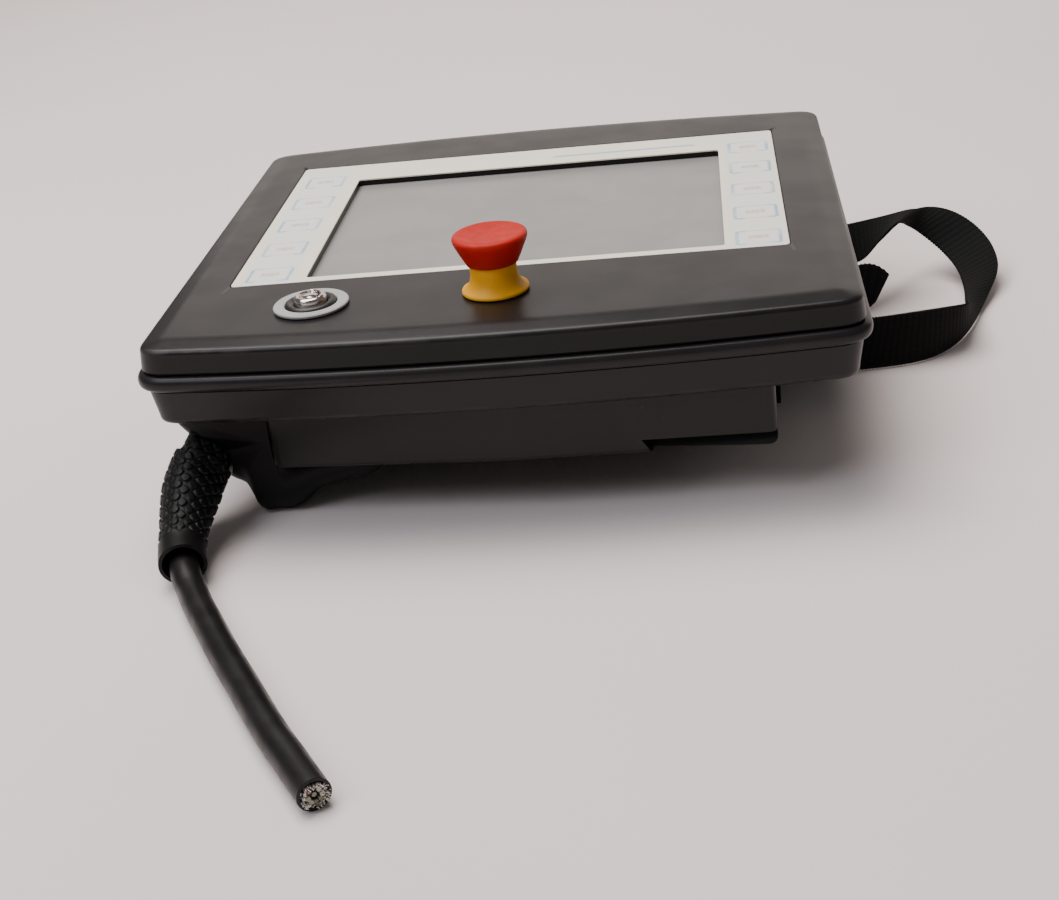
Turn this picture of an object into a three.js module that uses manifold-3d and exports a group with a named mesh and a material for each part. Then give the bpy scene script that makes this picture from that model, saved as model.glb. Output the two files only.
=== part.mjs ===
// Pendant control station: a hand-held machine operator's unit with a touch screen, membrane keys,
// an emergency stop, a key switch, a grip with an enabling button, a cable and a hand strap.
// Millimetres. X to the right, Y away from the operator, Z up out of the screen.
// The origin is on the flat underside that the unit rests on, below the middle of the housing.

import * as THREE from "three";
import { mergeVertices } from "three/addons/utils/BufferGeometryUtils.js";
import Module from "manifold-3d";

const wasm = await Module();
wasm.setup();

// ---------------------------------------------------------------- driving dimensions

const GAP = 0.3; // clearance between pieces that touch
const WALL = 3; // thickness of the housing's walls
const FACE_Z = 85; // front face above the resting plane
const CAVITY_TOP = 82; // underside of the front face
const SEAL_Z = 71; // middle of the seal between the shells
const SEAL_BOTTOM = 66.6;
const TRAY_Z = 51; // underside of the lower tray

const HOUSING = { halfWidth: 139, halfDepth: 136.5, bow: 7, corner: 12 };
const OVERLAY = { width: 228, depth: 160.5, y: 13, thickness: 0.6, corner: 2 };
const OVERLAY_Z = 84.2; // underside of the overlay
const WINDOW = { width: 171.6, depth: 131.3, x: 2.7, y: 3.2, corner: 1.5 };

const KEY = { width: 18, depth: 16, left: -99.6, right: 102.2, y: 6.6, pitch: 31.3, count: 5 };
const DOME = { width: 22, depth: 142, z: 83.2, thickness: 0.6 };

const STOP = { x: -0.8, y: -94, neck: 9.2, neckTop: 100.5, skirt: 13.2, cap: 14.7, top: 110 };
const LOCK = { x: -74, y: -96, ring: 15, bezel: 10.2, rotor: 6.5 };
const PANEL_BORE = 8.2; // radius of the holes in the front shell

const COVER = { right: 104, left: -95, deepLeft: -58, front: -125, wing: -72, step: -33, back: 88, stepZ: 25.3 };
const GRIP = { x: -99.5, front: -114, back: 107, top: TRAY_Z - GAP };
const BUTTON = { x: -90, y: 0, z: 26, width: 44, height: 18, reach: 12 };

const CABLE_RADIUS = 5.8;
const SLEEVE = { outer: 9.5, inner: 7.8 };
const STRAP_THICKNESS = 1.6;

// ---------------------------------------------------------------- finishes

const FINISHES = {
  housing: { color: 0x4a4543, roughness: 0.55, metalness: 0 },
  seal: { color: 0x1f1f20, roughness: 0.5, metalness: 0 },
  grip: { color: 0x141415, roughness: 0.6, metalness: 0 },
  overlay: { color: 0xd8d5cc, roughness: 0.45, metalness: 0 },
  key: { color: 0xdcdad2, roughness: 0.45, metalness: 0 },
  glass: { color: 0xa9a6a3, roughness: 0.25, metalness: 0 },
  stopRed: { color: 0xc2301f, roughness: 0.4, metalness: 0 },
  stopYellow: { color: 0xd9a21c, roughness: 0.45, metalness: 0 },
  ring: { color: 0xb9bab8, roughness: 0.45, metalness: 0 },
  darkPlastic: { color: 0x202122, roughness: 0.5, metalness: 0 },
  chrome: { color: 0xd0d0d2, roughness: 0.15, metalness: 1 },
  steel: { color: 0x9a9c9f, roughness: 0.35, metalness: 1 },
  board: { color: 0x1f5a36, roughness: 0.5, metalness: 0 },
  film: { color: 0xb8bcc0, roughness: 0.4, metalness: 0 },
  cable: { color: 0x232122, roughness: 0.4, metalness: 0 },
  cores: { color: 0xb9b6ae, roughness: 0.4, metalness: 0.6 },
  webbing: { color: 0x121213, roughness: 0.9, metalness: 0 },
};

const part = new THREE.Group();

function piece(name, geometry, finish) {
  const mesh = new THREE.Mesh(geometry, new THREE.MeshStandardMaterial(FINISHES[finish]));
  mesh.name = name;
  part.add(mesh);
  return mesh;
}

// ---------------------------------------------------------------- joining and cutting

function toSolid(geometry) {
  const bare = geometry.clone();
  bare.deleteAttribute("normal");
  bare.deleteAttribute("uv");
  const merged = mergeVertices(bare, 1e-4);
  return new wasm.Manifold(
    new wasm.Mesh({
      numProp: 3,
      vertProperties: new Float32Array(merged.attributes.position.array),
      triVerts: new Uint32Array(merged.index.array),
    }),
  );
}

function toGeometry(solid) {
  const mesh = solid.getMesh();
  const geometry = new THREE.BufferGeometry();
  geometry.setAttribute("position", new THREE.BufferAttribute(new Float32Array(mesh.vertProperties), 3));
  geometry.setIndex(new THREE.BufferAttribute(new Uint32Array(mesh.triVerts), 1));
  geometry.computeVertexNormals();
  return geometry;
}

function cut(geometry, tools) {
  return toGeometry(tools.reduce((solid, tool) => solid.subtract(toSolid(tool)), toSolid(geometry)));
}

function join(geometries) {
  const [first, ...rest] = geometries.map(toSolid);
  return toGeometry(rest.reduce((solid, next) => solid.add(next), first));
}

// ---------------------------------------------------------------- basic shapes

// A block between two corners.
function block(low, high) {
  const size = high.map((value, axis) => value - low[axis]);
  const geometry = new THREE.BoxGeometry(...size);
  return geometry.translate(...low.map((value, axis) => value + size[axis] / 2));
}

// An upright round rod.
function rod(x, y, bottom, top, radius, sides = 24) {
  const geometry = new THREE.CylinderGeometry(radius, radius, top - bottom, sides);
  return geometry.rotateX(Math.PI / 2).translate(x, y, (bottom + top) / 2);
}

// A body turned about an upright axis from [radius, height] pairs.
function turned(x, y, profile, sides = 28) {
  const points = profile.map(([radius, height]) => new THREE.Vector2(radius, height));
  return new THREE.LatheGeometry(points, sides).rotateX(Math.PI / 2).translate(x, y, 0);
}

// A flat ring with a round hole.
function washer(x, y, bottom, top, outer, inner, sides = 28) {
  const profile = [[inner, bottom], [outer, bottom], [outer, top], [inner, top], [inner, bottom]];
  return turned(x, y, profile, sides);
}

function roundedRectangle(width, depth, corner) {
  const shape = new THREE.Shape();
  const w = width / 2;
  const d = depth / 2;
  shape.moveTo(w, -d + corner);
  shape.lineTo(w, d - corner);
  shape.absarc(w - corner, d - corner, corner, 0, Math.PI / 2);
  shape.lineTo(-w + corner, d);
  shape.absarc(-w + corner, d - corner, corner, Math.PI / 2, Math.PI);
  shape.lineTo(-w, -d + corner);
  shape.absarc(-w + corner, -d + corner, corner, Math.PI, 1.5 * Math.PI);
  shape.lineTo(w - corner, -d);
  shape.absarc(w - corner, -d + corner, corner, 1.5 * Math.PI, 2 * Math.PI);
  return shape;
}

// A rounded plate of even thickness.
function plate(x, y, bottom, { width, depth, corner }, thickness, steps = 4) {
  const settings = { depth: thickness, bevelEnabled: false, curveSegments: steps };
  return new THREE.ExtrudeGeometry(roundedRectangle(width, depth, corner), settings).translate(x, y, bottom);
}

// A closed body through a stack of rings with the same number of points, each end closed from its middle.
function loft(rings) {
  const count = rings[0].length;
  const middleOf = (ring) => ring.reduce((sum, point) => sum.add(point), new THREE.Vector3()).divideScalar(count);
  const points = [...rings.flat(), middleOf(rings[0]), middleOf(rings.at(-1))];
  const first = rings.length * count;
  const index = [];
  for (let side = 0; side < count; side += 1) {
    const next = (side + 1) % count;
    for (let level = 0; level < rings.length - 1; level += 1) {
      const a = level * count + side;
      const b = level * count + next;
      index.push(a, b, b + count, a, b + count, a + count);
    }
    const top = (rings.length - 1) * count;
    index.push(first, next, side, first + 1, top + side, top + next);
  }
  const geometry = new THREE.BufferGeometry().setFromPoints(points);
  geometry.setIndex(index);
  geometry.computeVertexNormals();
  return geometry;
}

// ---------------------------------------------------------------- housing

// The housing's outline moved inwards by an inset: straight sides, bowed front and back, round corners.
function housingOutline(inset) {
  const w = HOUSING.halfWidth - inset;
  const d = HOUSING.halfDepth - inset;
  const e = d - HOUSING.bow;
  const r = Math.max(HOUSING.corner - inset, 2);
  const shape = new THREE.Shape();
  shape.moveTo(-w + r, -e);
  shape.quadraticCurveTo(0, -2 * d + e, w - r, -e);
  shape.quadraticCurveTo(w, -e, w, -e + r);
  shape.lineTo(w, e - r);
  shape.quadraticCurveTo(w, e, w - r, e);
  shape.quadraticCurveTo(0, 2 * d - e, -w + r, e);
  shape.quadraticCurveTo(-w, e, -w, e - r);
  shape.lineTo(-w, -e + r);
  shape.quadraticCurveTo(-w, -e, -w + r, -e);
  const points = shape.getPoints(5);
  if (points[0].distanceTo(points.at(-1)) < 1e-6) points.pop();
  return points;
}

// A body whose wall follows the housing's outline at each [height, inset] pair.
function housingBody(levels) {
  return loft(levels.map(([z, inset]) => housingOutline(inset).map((point) => new THREE.Vector3(point.x, point.y, z))));
}

const keyPlaces = [];
for (const side of ["left", "right"]) {
  for (let row = 0; row < KEY.count; row += 1) {
    const y = KEY.y + ((KEY.count - 1) / 2 - row) * KEY.pitch;
    keyPlaces.push({ name: `key_${side}_${row + 1}`, x: KEY[side], y });
  }
}

const SHELL_SCREWS = [[-123, -108], [123, -108], [-123, 108], [123, 108]];
const COVER_SCREWS = [[-48, COVER.back + 10], [92, COVER.back + 10], [-60, COVER.front + 9], [40, COVER.front + 9]];
const BOSS_RADIUS = 5;
const SCREW_RADIUS = 1.8;

function frontShell() {
  const skin = SEAL_Z + 2.3;
  const outside = housingBody([[skin, 0], [79, 1], [82.6, 2.2], [84.3, 4.2], [FACE_Z, 7]]);
  const inside = housingBody([[skin - 1, WALL], [CAVITY_TOP, WALL + 1]]);
  const recess = { width: OVERLAY.width + 1, depth: OVERLAY.depth + 1, corner: OVERLAY.corner + 0.5 };
  const floor = OVERLAY_Z - GAP;
  const well = { width: DOME.width + 1, depth: DOME.depth + 1, corner: 2 };
  const tools = [
    inside,
    plate(0, OVERLAY.y, floor, recess, 5),
    plate(WINDOW.x, WINDOW.y, CAVITY_TOP - 1, WINDOW, 5),
    plate(KEY.left, KEY.y, DOME.z - GAP, well, 5),
    plate(KEY.right, KEY.y, DOME.z - GAP, well, 5),
    rod(STOP.x, STOP.y, 60, 90, PANEL_BORE),
    rod(LOCK.x, LOCK.y, 60, 90, PANEL_BORE),
  ];
  const shell = cut(outside, tools);
  const bosses = SHELL_SCREWS.map(([x, y]) => rod(x, y, skin, CAVITY_TOP + 0.5, BOSS_RADIUS, 16));
  const pilots = SHELL_SCREWS.map(([x, y]) => rod(x, y, skin - 1, CAVITY_TOP - 2, SCREW_RADIUS + GAP, 10));
  return cut(join([shell, ...bosses]), pilots);
}

function partingSeal() {
  const outside = housingBody([
    [SEAL_BOTTOM, 0.8],
    [SEAL_BOTTOM + 0.8, -0.9],
    [SEAL_BOTTOM + 2.2, -1.9],
    [SEAL_BOTTOM + 3.6, -2.1],
    [SEAL_BOTTOM + 5, -1.4],
    [SEAL_Z + 2, 0.2],
  ]);
  return cut(outside, [housingBody([[SEAL_BOTTOM - 5, WALL], [SEAL_Z + 5, WALL]])]);
}

function rearShell() {
  const rim = SEAL_BOTTOM - GAP;
  const postTop = SEAL_Z - 2.3;
  const outside = housingBody([[TRAY_Z, 6], [TRAY_Z + 0.9, 4.3], [TRAY_Z + 3, 3.2], [rim, 1.2]]);
  const inside = housingBody([[TRAY_Z + WALL, 3.2 + WALL], [rim + 1, 1.2 + WALL]]);
  const opening = block([COVER.deepLeft + 6, COVER.front + 17, 40], [COVER.right - 6, COVER.back - 6, 60]);
  const leadSlot = block([GRIP.x - 14, -50, 40], [GRIP.x - 2, 50, 60]);
  const tray = cut(outside, [inside, opening, leadSlot]);
  const posts = SHELL_SCREWS.map(([x, y]) => rod(x, y, TRAY_Z + 1, postTop, BOSS_RADIUS, 16));
  const bores = SHELL_SCREWS.map(([x, y]) => rod(x, y, 40, 80, SCREW_RADIUS + GAP, 10));
  const heads = SHELL_SCREWS.map(([x, y]) => rod(x, y, 40, TRAY_Z + 4, 3.6, 12));
  const pilots = COVER_SCREWS.map(([x, y]) => rod(x, y, 40, 60, SCREW_RADIUS + GAP, 10));
  return cut(join([tray, ...posts]), [...bores, ...heads, ...pilots]);
}

// A vertical prism with rounded plan corners between two corners of its plan.
function roundedBlock([x0, y0, z0], [x1, y1, z1], corner) {
  const size = { width: x1 - x0, depth: y1 - y0, corner };
  return plate((x0 + x1) / 2, (y0 + y1) / 2, z0, size, z1 - z0, 3);
}

// The cover's outside, grown by a margin: a wide shallow front, a shallow middle and a deep back half.
function coverBlocks(margin) {
  const top = TRAY_Z - GAP + margin;
  const { left, right, deepLeft, front, wing, step, back, stepZ } = COVER;
  return [
    roundedBlock([left - margin, front - margin, stepZ - margin], [right + margin, wing + margin, top], 5),
    roundedBlock([deepLeft - margin, front - margin, stepZ - margin], [right + margin, back + margin, top], 5),
    roundedBlock([deepLeft - margin, step - margin, -margin], [right + margin, back + margin, top], 5),
  ];
}

function electronicsCover() {
  const t = 2.6;
  const top = TRAY_Z + 5;
  const { left, right, deepLeft, front, wing, step, back, stepZ } = COVER;
  const flange = roundedBlock([deepLeft, back - 4, TRAY_Z - 4], [right - 1, back + 16, TRAY_Z - GAP], 4);
  const body = cut(join([...coverBlocks(0), flange]), [
    roundedBlock([left + t, front + t, stepZ + t], [right - t, wing - t, top], 3),
    roundedBlock([deepLeft + t, front + t, stepZ + t], [right - t, back - t, top], 3),
    roundedBlock([deepLeft + t, step + t, t], [right - t, back - t, top], 3),
    block([52, front - 5, stepZ - 5], [right + 5, front + 5, stepZ + 6]),
  ]);
  const lip = block([52, front + 5, stepZ + 0.2], [right - 1, front + 5 + t, stepZ + 8]);
  const shelf = block([52, front + 0.5, stepZ + 6], [right - 1, front + 5 + t, stepZ + 6 + t]);
  const seats = COVER_SCREWS.map(([x, y]) => rod(x, y, y > 0 ? TRAY_Z - 4 : stepZ + 0.5, TRAY_Z - GAP, 4.4, 14));
  const bores = COVER_SCREWS.map(([x, y]) => rod(x, y, -1, 60, SCREW_RADIUS + GAP, 10));
  const heads = COVER_SCREWS.filter(([, y]) => y < 0).map(([x, y]) => rod(x, y, -1, TRAY_Z - 6, 3.4, 12));
  return cut(join([body, lip, shelf, ...seats]), [...bores, ...heads]);
}

piece("front_shell", frontShell(), "housing");
piece("parting_seal", partingSeal(), "seal");
piece("rear_shell", rearShell(), "housing");
piece("electronics_cover", electronicsCover(), "housing");

// ---------------------------------------------------------------- keypad and display

function overlayWithWindows() {
  const sheet = plate(0, OVERLAY.y, OVERLAY_Z, OVERLAY, OVERLAY.thickness);
  const keyHole = { width: KEY.width + 2 * GAP, depth: KEY.depth + 2 * GAP, corner: 2 };
  const holes = keyPlaces.map(({ x, y }) => plate(x, y, OVERLAY_Z - 1, keyHole, 3, 2));
  return cut(sheet, [plate(WINDOW.x, WINDOW.y, OVERLAY_Z - 1, WINDOW, 3), ...holes]);
}

piece("membrane_overlay", overlayWithWindows(), "overlay");
for (const { name, x, y } of keyPlaces) {
  piece(name, plate(x, y, OVERLAY_Z, { width: KEY.width, depth: KEY.depth, corner: 2 }, OVERLAY.thickness, 2), "key");
}
piece("dome_sheet_left", plate(KEY.left, KEY.y, DOME.z, { ...DOME, corner: 1.5 }, DOME.thickness, 2), "film");
piece("dome_sheet_right", plate(KEY.right, KEY.y, DOME.z, { ...DOME, corner: 1.5 }, DOME.thickness, 2), "film");

const GLASS = { width: 178, depth: 137, corner: 2 };
piece("touch_glass", plate(WINDOW.x, WINDOW.y, CAVITY_TOP - GAP - 1.8, GLASS, 1.8, 2), "glass");

function displayModule() {
  const can = plate(WINDOW.x, WINDOW.y, 72, { width: 176, depth: 135, corner: 1.5 }, 7.6, 2);
  const rearPlate = plate(WINDOW.x, WINDOW.y, 70.4, { width: 150, depth: 108, corner: 3 }, 2, 2);
  return join([can, rearPlate]);
}

function displayBracket() {
  const frame = plate(WINDOW.x, WINDOW.y, 68.6, { width: 190, depth: 140, corner: 4 }, 1.5, 2);
  const relief = plate(WINDOW.x, WINDOW.y, 65, { width: 130, depth: 90, corner: 6 }, 8, 2);
  return cut(frame, [relief]);
}

function mainBoard() {
  const board = plate(22, 24, 38, { width: 140, depth: 100, corner: 2 }, 1.6, 2);
  const parts = [
    block([-20, 20, 39], [22, 62, 43]),
    block([40, 10, 39], [66, 36, 42]),
    block([-46, 44, 39], [-28, 70, 48]),
    block([40, 50, 39], [78, 66, 50]),
    block([-44, -18, 39], [-10, -8, 46]),
  ];
  return join([board, ...parts]);
}

piece("display_module", displayModule(), "steel");
piece("display_bracket", displayBracket(), "steel");
piece("main_board", mainBoard(), "board");

function terminalBlock() {
  const body = block([20, -22, 40], [70, -10, 51]);
  const slots = [];
  for (let way = 0; way < 6; way += 1) {
    const x = 24.5 + way * 8;
    slots.push(rod(x, -16, 46, 53, 2.1, 10));
    slots.push(block([x - 2, -23, 42], [x + 2, -17, 46]));
  }
  return cut(body, slots);
}

piece("terminal_block", terminalBlock(), "stopYellow");

// ---------------------------------------------------------------- emergency stop

const STOP_ROOM = 4.8; // height above the neck that lets the cap sink

// The cap is hollow below, so that it sinks over the fixed neck; its middle post stands on the stem.
function stopCap() {
  const { neck, neckTop, cap, top } = STOP;
  const profile = [
    [0, 98], [6.2, 98], [6.2, neckTop + STOP_ROOM], [neck + 0.4, neckTop + STOP_ROOM], [neck + 0.4, 96.9],
    [10.2, 96.9], [11.4, 99.7], [13.3, 103.4], [cap, 106.5], [cap, 108.1], [13.7, 109.4],
    [12, top], [9.5, top - 0.2], [0, top - 1],
  ];
  return turned(STOP.x, STOP.y, profile, 32);
}

// The neck flares out to the skirt along a quarter of a hollow curve.
function stopCollar() {
  const foot = FACE_Z + GAP;
  const profile = [[6.8, foot], [STOP.skirt, foot], [STOP.skirt, foot + 1.3]];
  for (let step = 1; step <= 4; step += 1) {
    const angle = (step / 4) * (Math.PI / 2);
    const radius = STOP.skirt - (STOP.skirt - STOP.neck) * Math.sin(angle);
    profile.push([radius, foot + 1.3 + 5.4 * (1 - Math.cos(angle))]);
  }
  profile.push([STOP.neck, STOP.neckTop], [6.8, STOP.neckTop], [6.8, foot]);
  return turned(STOP.x, STOP.y, profile, 32);
}

function stopStem() {
  const foot = [[0, 68], [6, 68], [6, 70], [3.6, 70], [3.6, 97.7], [0, 97.7]];
  return turned(STOP.x, STOP.y, foot, 20);
}

// A spring wound round the stem.
function stopSpring() {
  const turns = 4.5;
  const points = [];
  const steps = Math.round(turns * 10);
  for (let step = 0; step <= steps; step += 1) {
    const angle = (step / 10) * 2 * Math.PI;
    const z = 71 + (step / steps) * 18;
    points.push(new THREE.Vector3(STOP.x + 4.9 * Math.cos(angle), STOP.y + 4.9 * Math.sin(angle), z));
  }
  const wire = new THREE.Shape();
  wire.absarc(0, 0, 0.5, 0, 2 * Math.PI);
  const path = new THREE.CatmullRomCurve3(points);
  return new THREE.ExtrudeGeometry(wire, { steps, curveSegments: 3, bevelEnabled: false, extrudePath: path });
}

// A hexagonal nut that holds a panel unit from below.
function panelNut(x, y) {
  const nut = new THREE.CylinderGeometry(13, 13, 4, 6).rotateX(Math.PI / 2).translate(x, y, CAVITY_TOP - GAP - 2);
  return cut(nut, [rod(x, y, 60, 90, PANEL_BORE - 0.4)]);
}

// The threaded tube through the panel is part of the contact body below it.
function stopContacts() {
  const bushing = washer(STOP.x, STOP.y, 72, 84.9, PANEL_BORE - 0.7, 6.4);
  const body = cut(block([STOP.x - 15, STOP.y - 15, 55], [STOP.x + 15, STOP.y + 15, 76]), [rod(STOP.x, STOP.y, 63.5, 90, 6.4)]);
  const terminals = [-9, 0, 9].map((x) => block([x - 2, STOP.y - 17.5, 57], [x + 2, STOP.y - 14, 63]));
  return join([bushing, body, ...terminals]);
}

piece("stop_cap", stopCap(), "stopRed");
piece("stop_collar", stopCollar(), "stopYellow");
piece("stop_stem", stopStem(), "darkPlastic");
piece("stop_spring", stopSpring(), "steel");
piece("stop_nut", panelNut(STOP.x, STOP.y), "steel");
piece("stop_contacts", stopContacts(), "darkPlastic");

// ---------------------------------------------------------------- key switch

function keyRotor() {
  const { x, y, rotor } = LOCK;
  const profile = [[0, 70], [4, 70], [4, 84], [rotor, 84.2], [rotor, 89.2], [5.9, 89.9], [0, 89.9]];
  const keyway = block([x - 0.6, y - 4.4, 80], [x + 0.6, y + 4.4, 91]);
  return cut(turned(x, y, profile, 24), [keyway]);
}

function keyContacts() {
  const { x, y } = LOCK;
  const body = block([x - 14, y - 14, 55], [x + 14, y + 14, 68.5]);
  const terminals = [-8, 8].map((dx) => block([x + dx - 2, y - 16.5, 57], [x + dx + 2, y - 13, 62]));
  return join([body, ...terminals]);
}

piece("key_ring", washer(LOCK.x, LOCK.y, FACE_Z + GAP, FACE_Z + 1.5, LOCK.ring, LOCK.bezel + GAP, 32), "ring");
piece(
  "key_bezel",
  turned(LOCK.x, LOCK.y, [
    [LOCK.rotor + GAP, FACE_Z + GAP], [LOCK.bezel, FACE_Z + GAP], [LOCK.bezel, FACE_Z + 1.8],
    [LOCK.bezel - 1, FACE_Z + 2.4], [LOCK.rotor + GAP, FACE_Z + 2.4], [LOCK.rotor + GAP, FACE_Z + GAP],
  ]),
  "darkPlastic",
);
piece("key_rotor", keyRotor(), "chrome");
piece("key_barrel", washer(LOCK.x, LOCK.y, 69, 83.6, PANEL_BORE - 0.7, 4.3), "chrome");
piece("key_nut", panelNut(LOCK.x, LOCK.y), "steel");
piece("key_contacts", keyContacts(), "darkPlastic");

// ---------------------------------------------------------------- grip and enabling switch

// The grip's cross section as [offset from its middle, height]: a lobe that hangs to the resting plane
// and a tongue under the cover.
const GRIP_SECTION = [
  [49.5, GRIP.top], [49.5, 22], [42.4, 14.4], [29.3, 11.1], [18.3, 8.1], [12.1, 3.1], [6.2, 0], [0, 0],
  [-6.8, 0], [-8.8, 5.4], [-11.3, 12.3], [-18.6, 17.8], [-25, 31], [-29.5, 38], [-33.5, 44.5], [-35, GRIP.top],
];

// Each station along Y scales the section's depth and its width about the lobe's middle.
const GRIP_STATIONS = [
  [GRIP.front, 0.5, 0.95], [-113.3, 0.68, 0.98], [-110.5, 0.85, 0.99], [-106, 0.96, 1], [-101, 1, 1],
  [-92, 1, 1], [-84, 0.95, 1], [-72, 0.84, 1], [-58, 0.78, 1], [0, 0.75, 1], [54, 0.78, 1],
  [68, 0.84, 1], [80, 0.95, 1], [88, 1, 1], [94, 1, 1], [100, 0.93, 1], [105, 0.7, 0.95], [GRIP.back, 0.4, 0.88],
];

function gripBody() {
  const rings = GRIP_STATIONS.map(([y, deep, wide]) =>
    GRIP_SECTION.map(([offset, z]) => new THREE.Vector3(GRIP.x + offset * wide, y, GRIP.top - (GRIP.top - z) * deep)),
  );
  return loft(rings);
}

const GLAND_AXIS = new THREE.Vector3(-0.33, -0.78, -0.53).normalize();
const GLAND_FACE = new THREE.Vector3(-125.4, -109.6, 27.5);

// A round rod along the gland's axis, from one distance behind its face to another.
function glandRod(from, to, radius, sides = 20) {
  const rodGeometry = new THREE.CylinderGeometry(radius, radius, to - from, sides);
  const turn = new THREE.Quaternion().setFromUnitVectors(new THREE.Vector3(0, 1, 0), GLAND_AXIS);
  rodGeometry.applyQuaternion(turn);
  const middle = GLAND_FACE.clone().addScaledVector(GLAND_AXIS, (from + to) / 2);
  return rodGeometry.translate(middle.x, middle.y, middle.z);
}

function grip() {
  const fingers = block([-80.5, -64, -5], [-30, 60, 60]);
  const throat = block([-60, GRIP.front - 5, 22], [-30, 120, 60]);
  const { x, y, z, width, height } = BUTTON;
  const slotLow = [x - 1, y - width / 2 - GAP, z - height / 2 - GAP];
  const slotHigh = [x + 20, y + width / 2 + GAP, z + height / 2 + GAP];
  const slot = block(slotLow, slotHigh);
  const pocket = block([x - 16.5, -26, 16], [x + 5, 26, 60]);
  const well = block([-116, -60, 36], [-97, 60, 60]);
  const seat = glandRod(-17, 12, 10.8);
  return cut(gripBody(), [...coverBlocks(GAP), fingers, throat, pocket, well, slot, seat]);
}

// A rounded pad whose face looks to +X.
function enableButton() {
  const { x, y, z, width, height, reach } = BUTTON;
  const edge = 1.2;
  const shape = roundedRectangle(width - 2 * edge, height - 2 * edge, 5);
  const bevel = { bevelEnabled: true, bevelSize: edge, bevelThickness: edge, bevelSegments: 2 };
  const pad = new THREE.ExtrudeGeometry(shape, { depth: reach - 2 * edge, curveSegments: 3, ...bevel });
  return pad.rotateX(Math.PI / 2).rotateZ(Math.PI / 2).translate(x + edge, y, z);
}

piece("grip", grip(), "grip");
piece("enable_button", enableButton(), "darkPlastic");
piece("enable_switch", block([BUTTON.x - 15.5, -20, 17], [BUTTON.x - 4, 20, 36]), "darkPlastic");

// ---------------------------------------------------------------- cable entry, sleeve and cable

const glandSpigot = join([glandRod(-11, -8.4, 10.4, 6), glandRod(-9, -0.5, 7.4)]);
piece("gland_body", cut(glandSpigot, [glandRod(-14, 2, 6.3)]), "darkPlastic");
piece("gland_nut", cut(glandRod(-16.4, -11.3, 9.4, 6), [glandRod(-20, 2, 6.3)]), "darkPlastic");

const SLEEVE_ROUTE = [
  [-122.9, -103.7, 31.5],
  [-125.6, -110.1, 27.2],
  [-128, -117.2, 22.8],
  [-128.7, -127.7, 18.6],
  [-127.9, -141.7, 14.4],
  [-125.9, -154.8, 11.2],
  [-122.2, -168.2, 9.6],
];

// The cable lies in the sleeve, comes out of its mouth and runs over the surface to its cut end.
const CABLE_ROUTE = [
  [-125.7, -110.3, 27],
  [-127.8, -116.3, 23.2],
  [-128.7, -127.7, 18.3],
  [-127.9, -141.7, 13.6],
  [-125.5, -154.8, 10],
  [-121.5, -168.2, 8.2],
  [-116.8, -177.8, 6.3],
  [-111.6, -188.5, 5.9],
  [-105.9, -199, 5.9],
  [-100.4, -209.4, 5.9],
  [-94.8, -219.7, 5.9],
  [-89, -230, 5.9],
  [-82.9, -240.5, 5.9],
  [-76.7, -251.6, 5.9],
  [-70.5, -262.5, 5.9],
  [-64.2, -273.1, 5.9],
  [-58, -282.7, 5.9],
  [-51.9, -292.5, 5.9],
  [-45.8, -302.1, 5.9],
];

function curveThrough(route) {
  return new THREE.CatmullRomCurve3(route.map((point) => new THREE.Vector3(...point)));
}

function ringShape(outer, inner) {
  const shape = new THREE.Shape();
  shape.absarc(0, 0, outer, 0, 2 * Math.PI);
  if (inner) {
    const hole = new THREE.Path();
    hole.absarc(0, 0, inner, 0, 2 * Math.PI);
    shape.holes.push(hole);
  }
  return shape;
}

function tubeAlong(route, outer, inner, steps, sides) {
  const settings = { steps, curveSegments: sides / 2, bevelEnabled: false, extrudePath: curveThrough(route) };
  return new THREE.ExtrudeGeometry(ringShape(outer, inner), settings);
}

piece("bend_sleeve", tubeAlong(SLEEVE_ROUTE, SLEEVE.outer, SLEEVE.inner, 12, 16), "grip");
piece("cable", tubeAlong(CABLE_ROUTE, CABLE_RADIUS, 0, 22, 12), "cable");

// The bared screen and cores stand a few millimetres out of the jacket's cut.
function cableCores() {
  const end = new THREE.Vector3(...CABLE_ROUTE.at(-1));
  const along = end.clone().sub(new THREE.Vector3(...CABLE_ROUTE.at(-2))).normalize();
  const turn = new THREE.Quaternion().setFromUnitVectors(new THREE.Vector3(0, 1, 0), along);
  const core = new THREE.CylinderGeometry(3.2, 4.2, 3, 12).applyQuaternion(turn);
  const middle = end.clone().addScaledVector(along, 1.5 + GAP);
  return core.translate(middle.x, middle.y, middle.z);
}

piece("cable_cores", cableCores(), "cores");

// ---------------------------------------------------------------- hand strap

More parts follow.
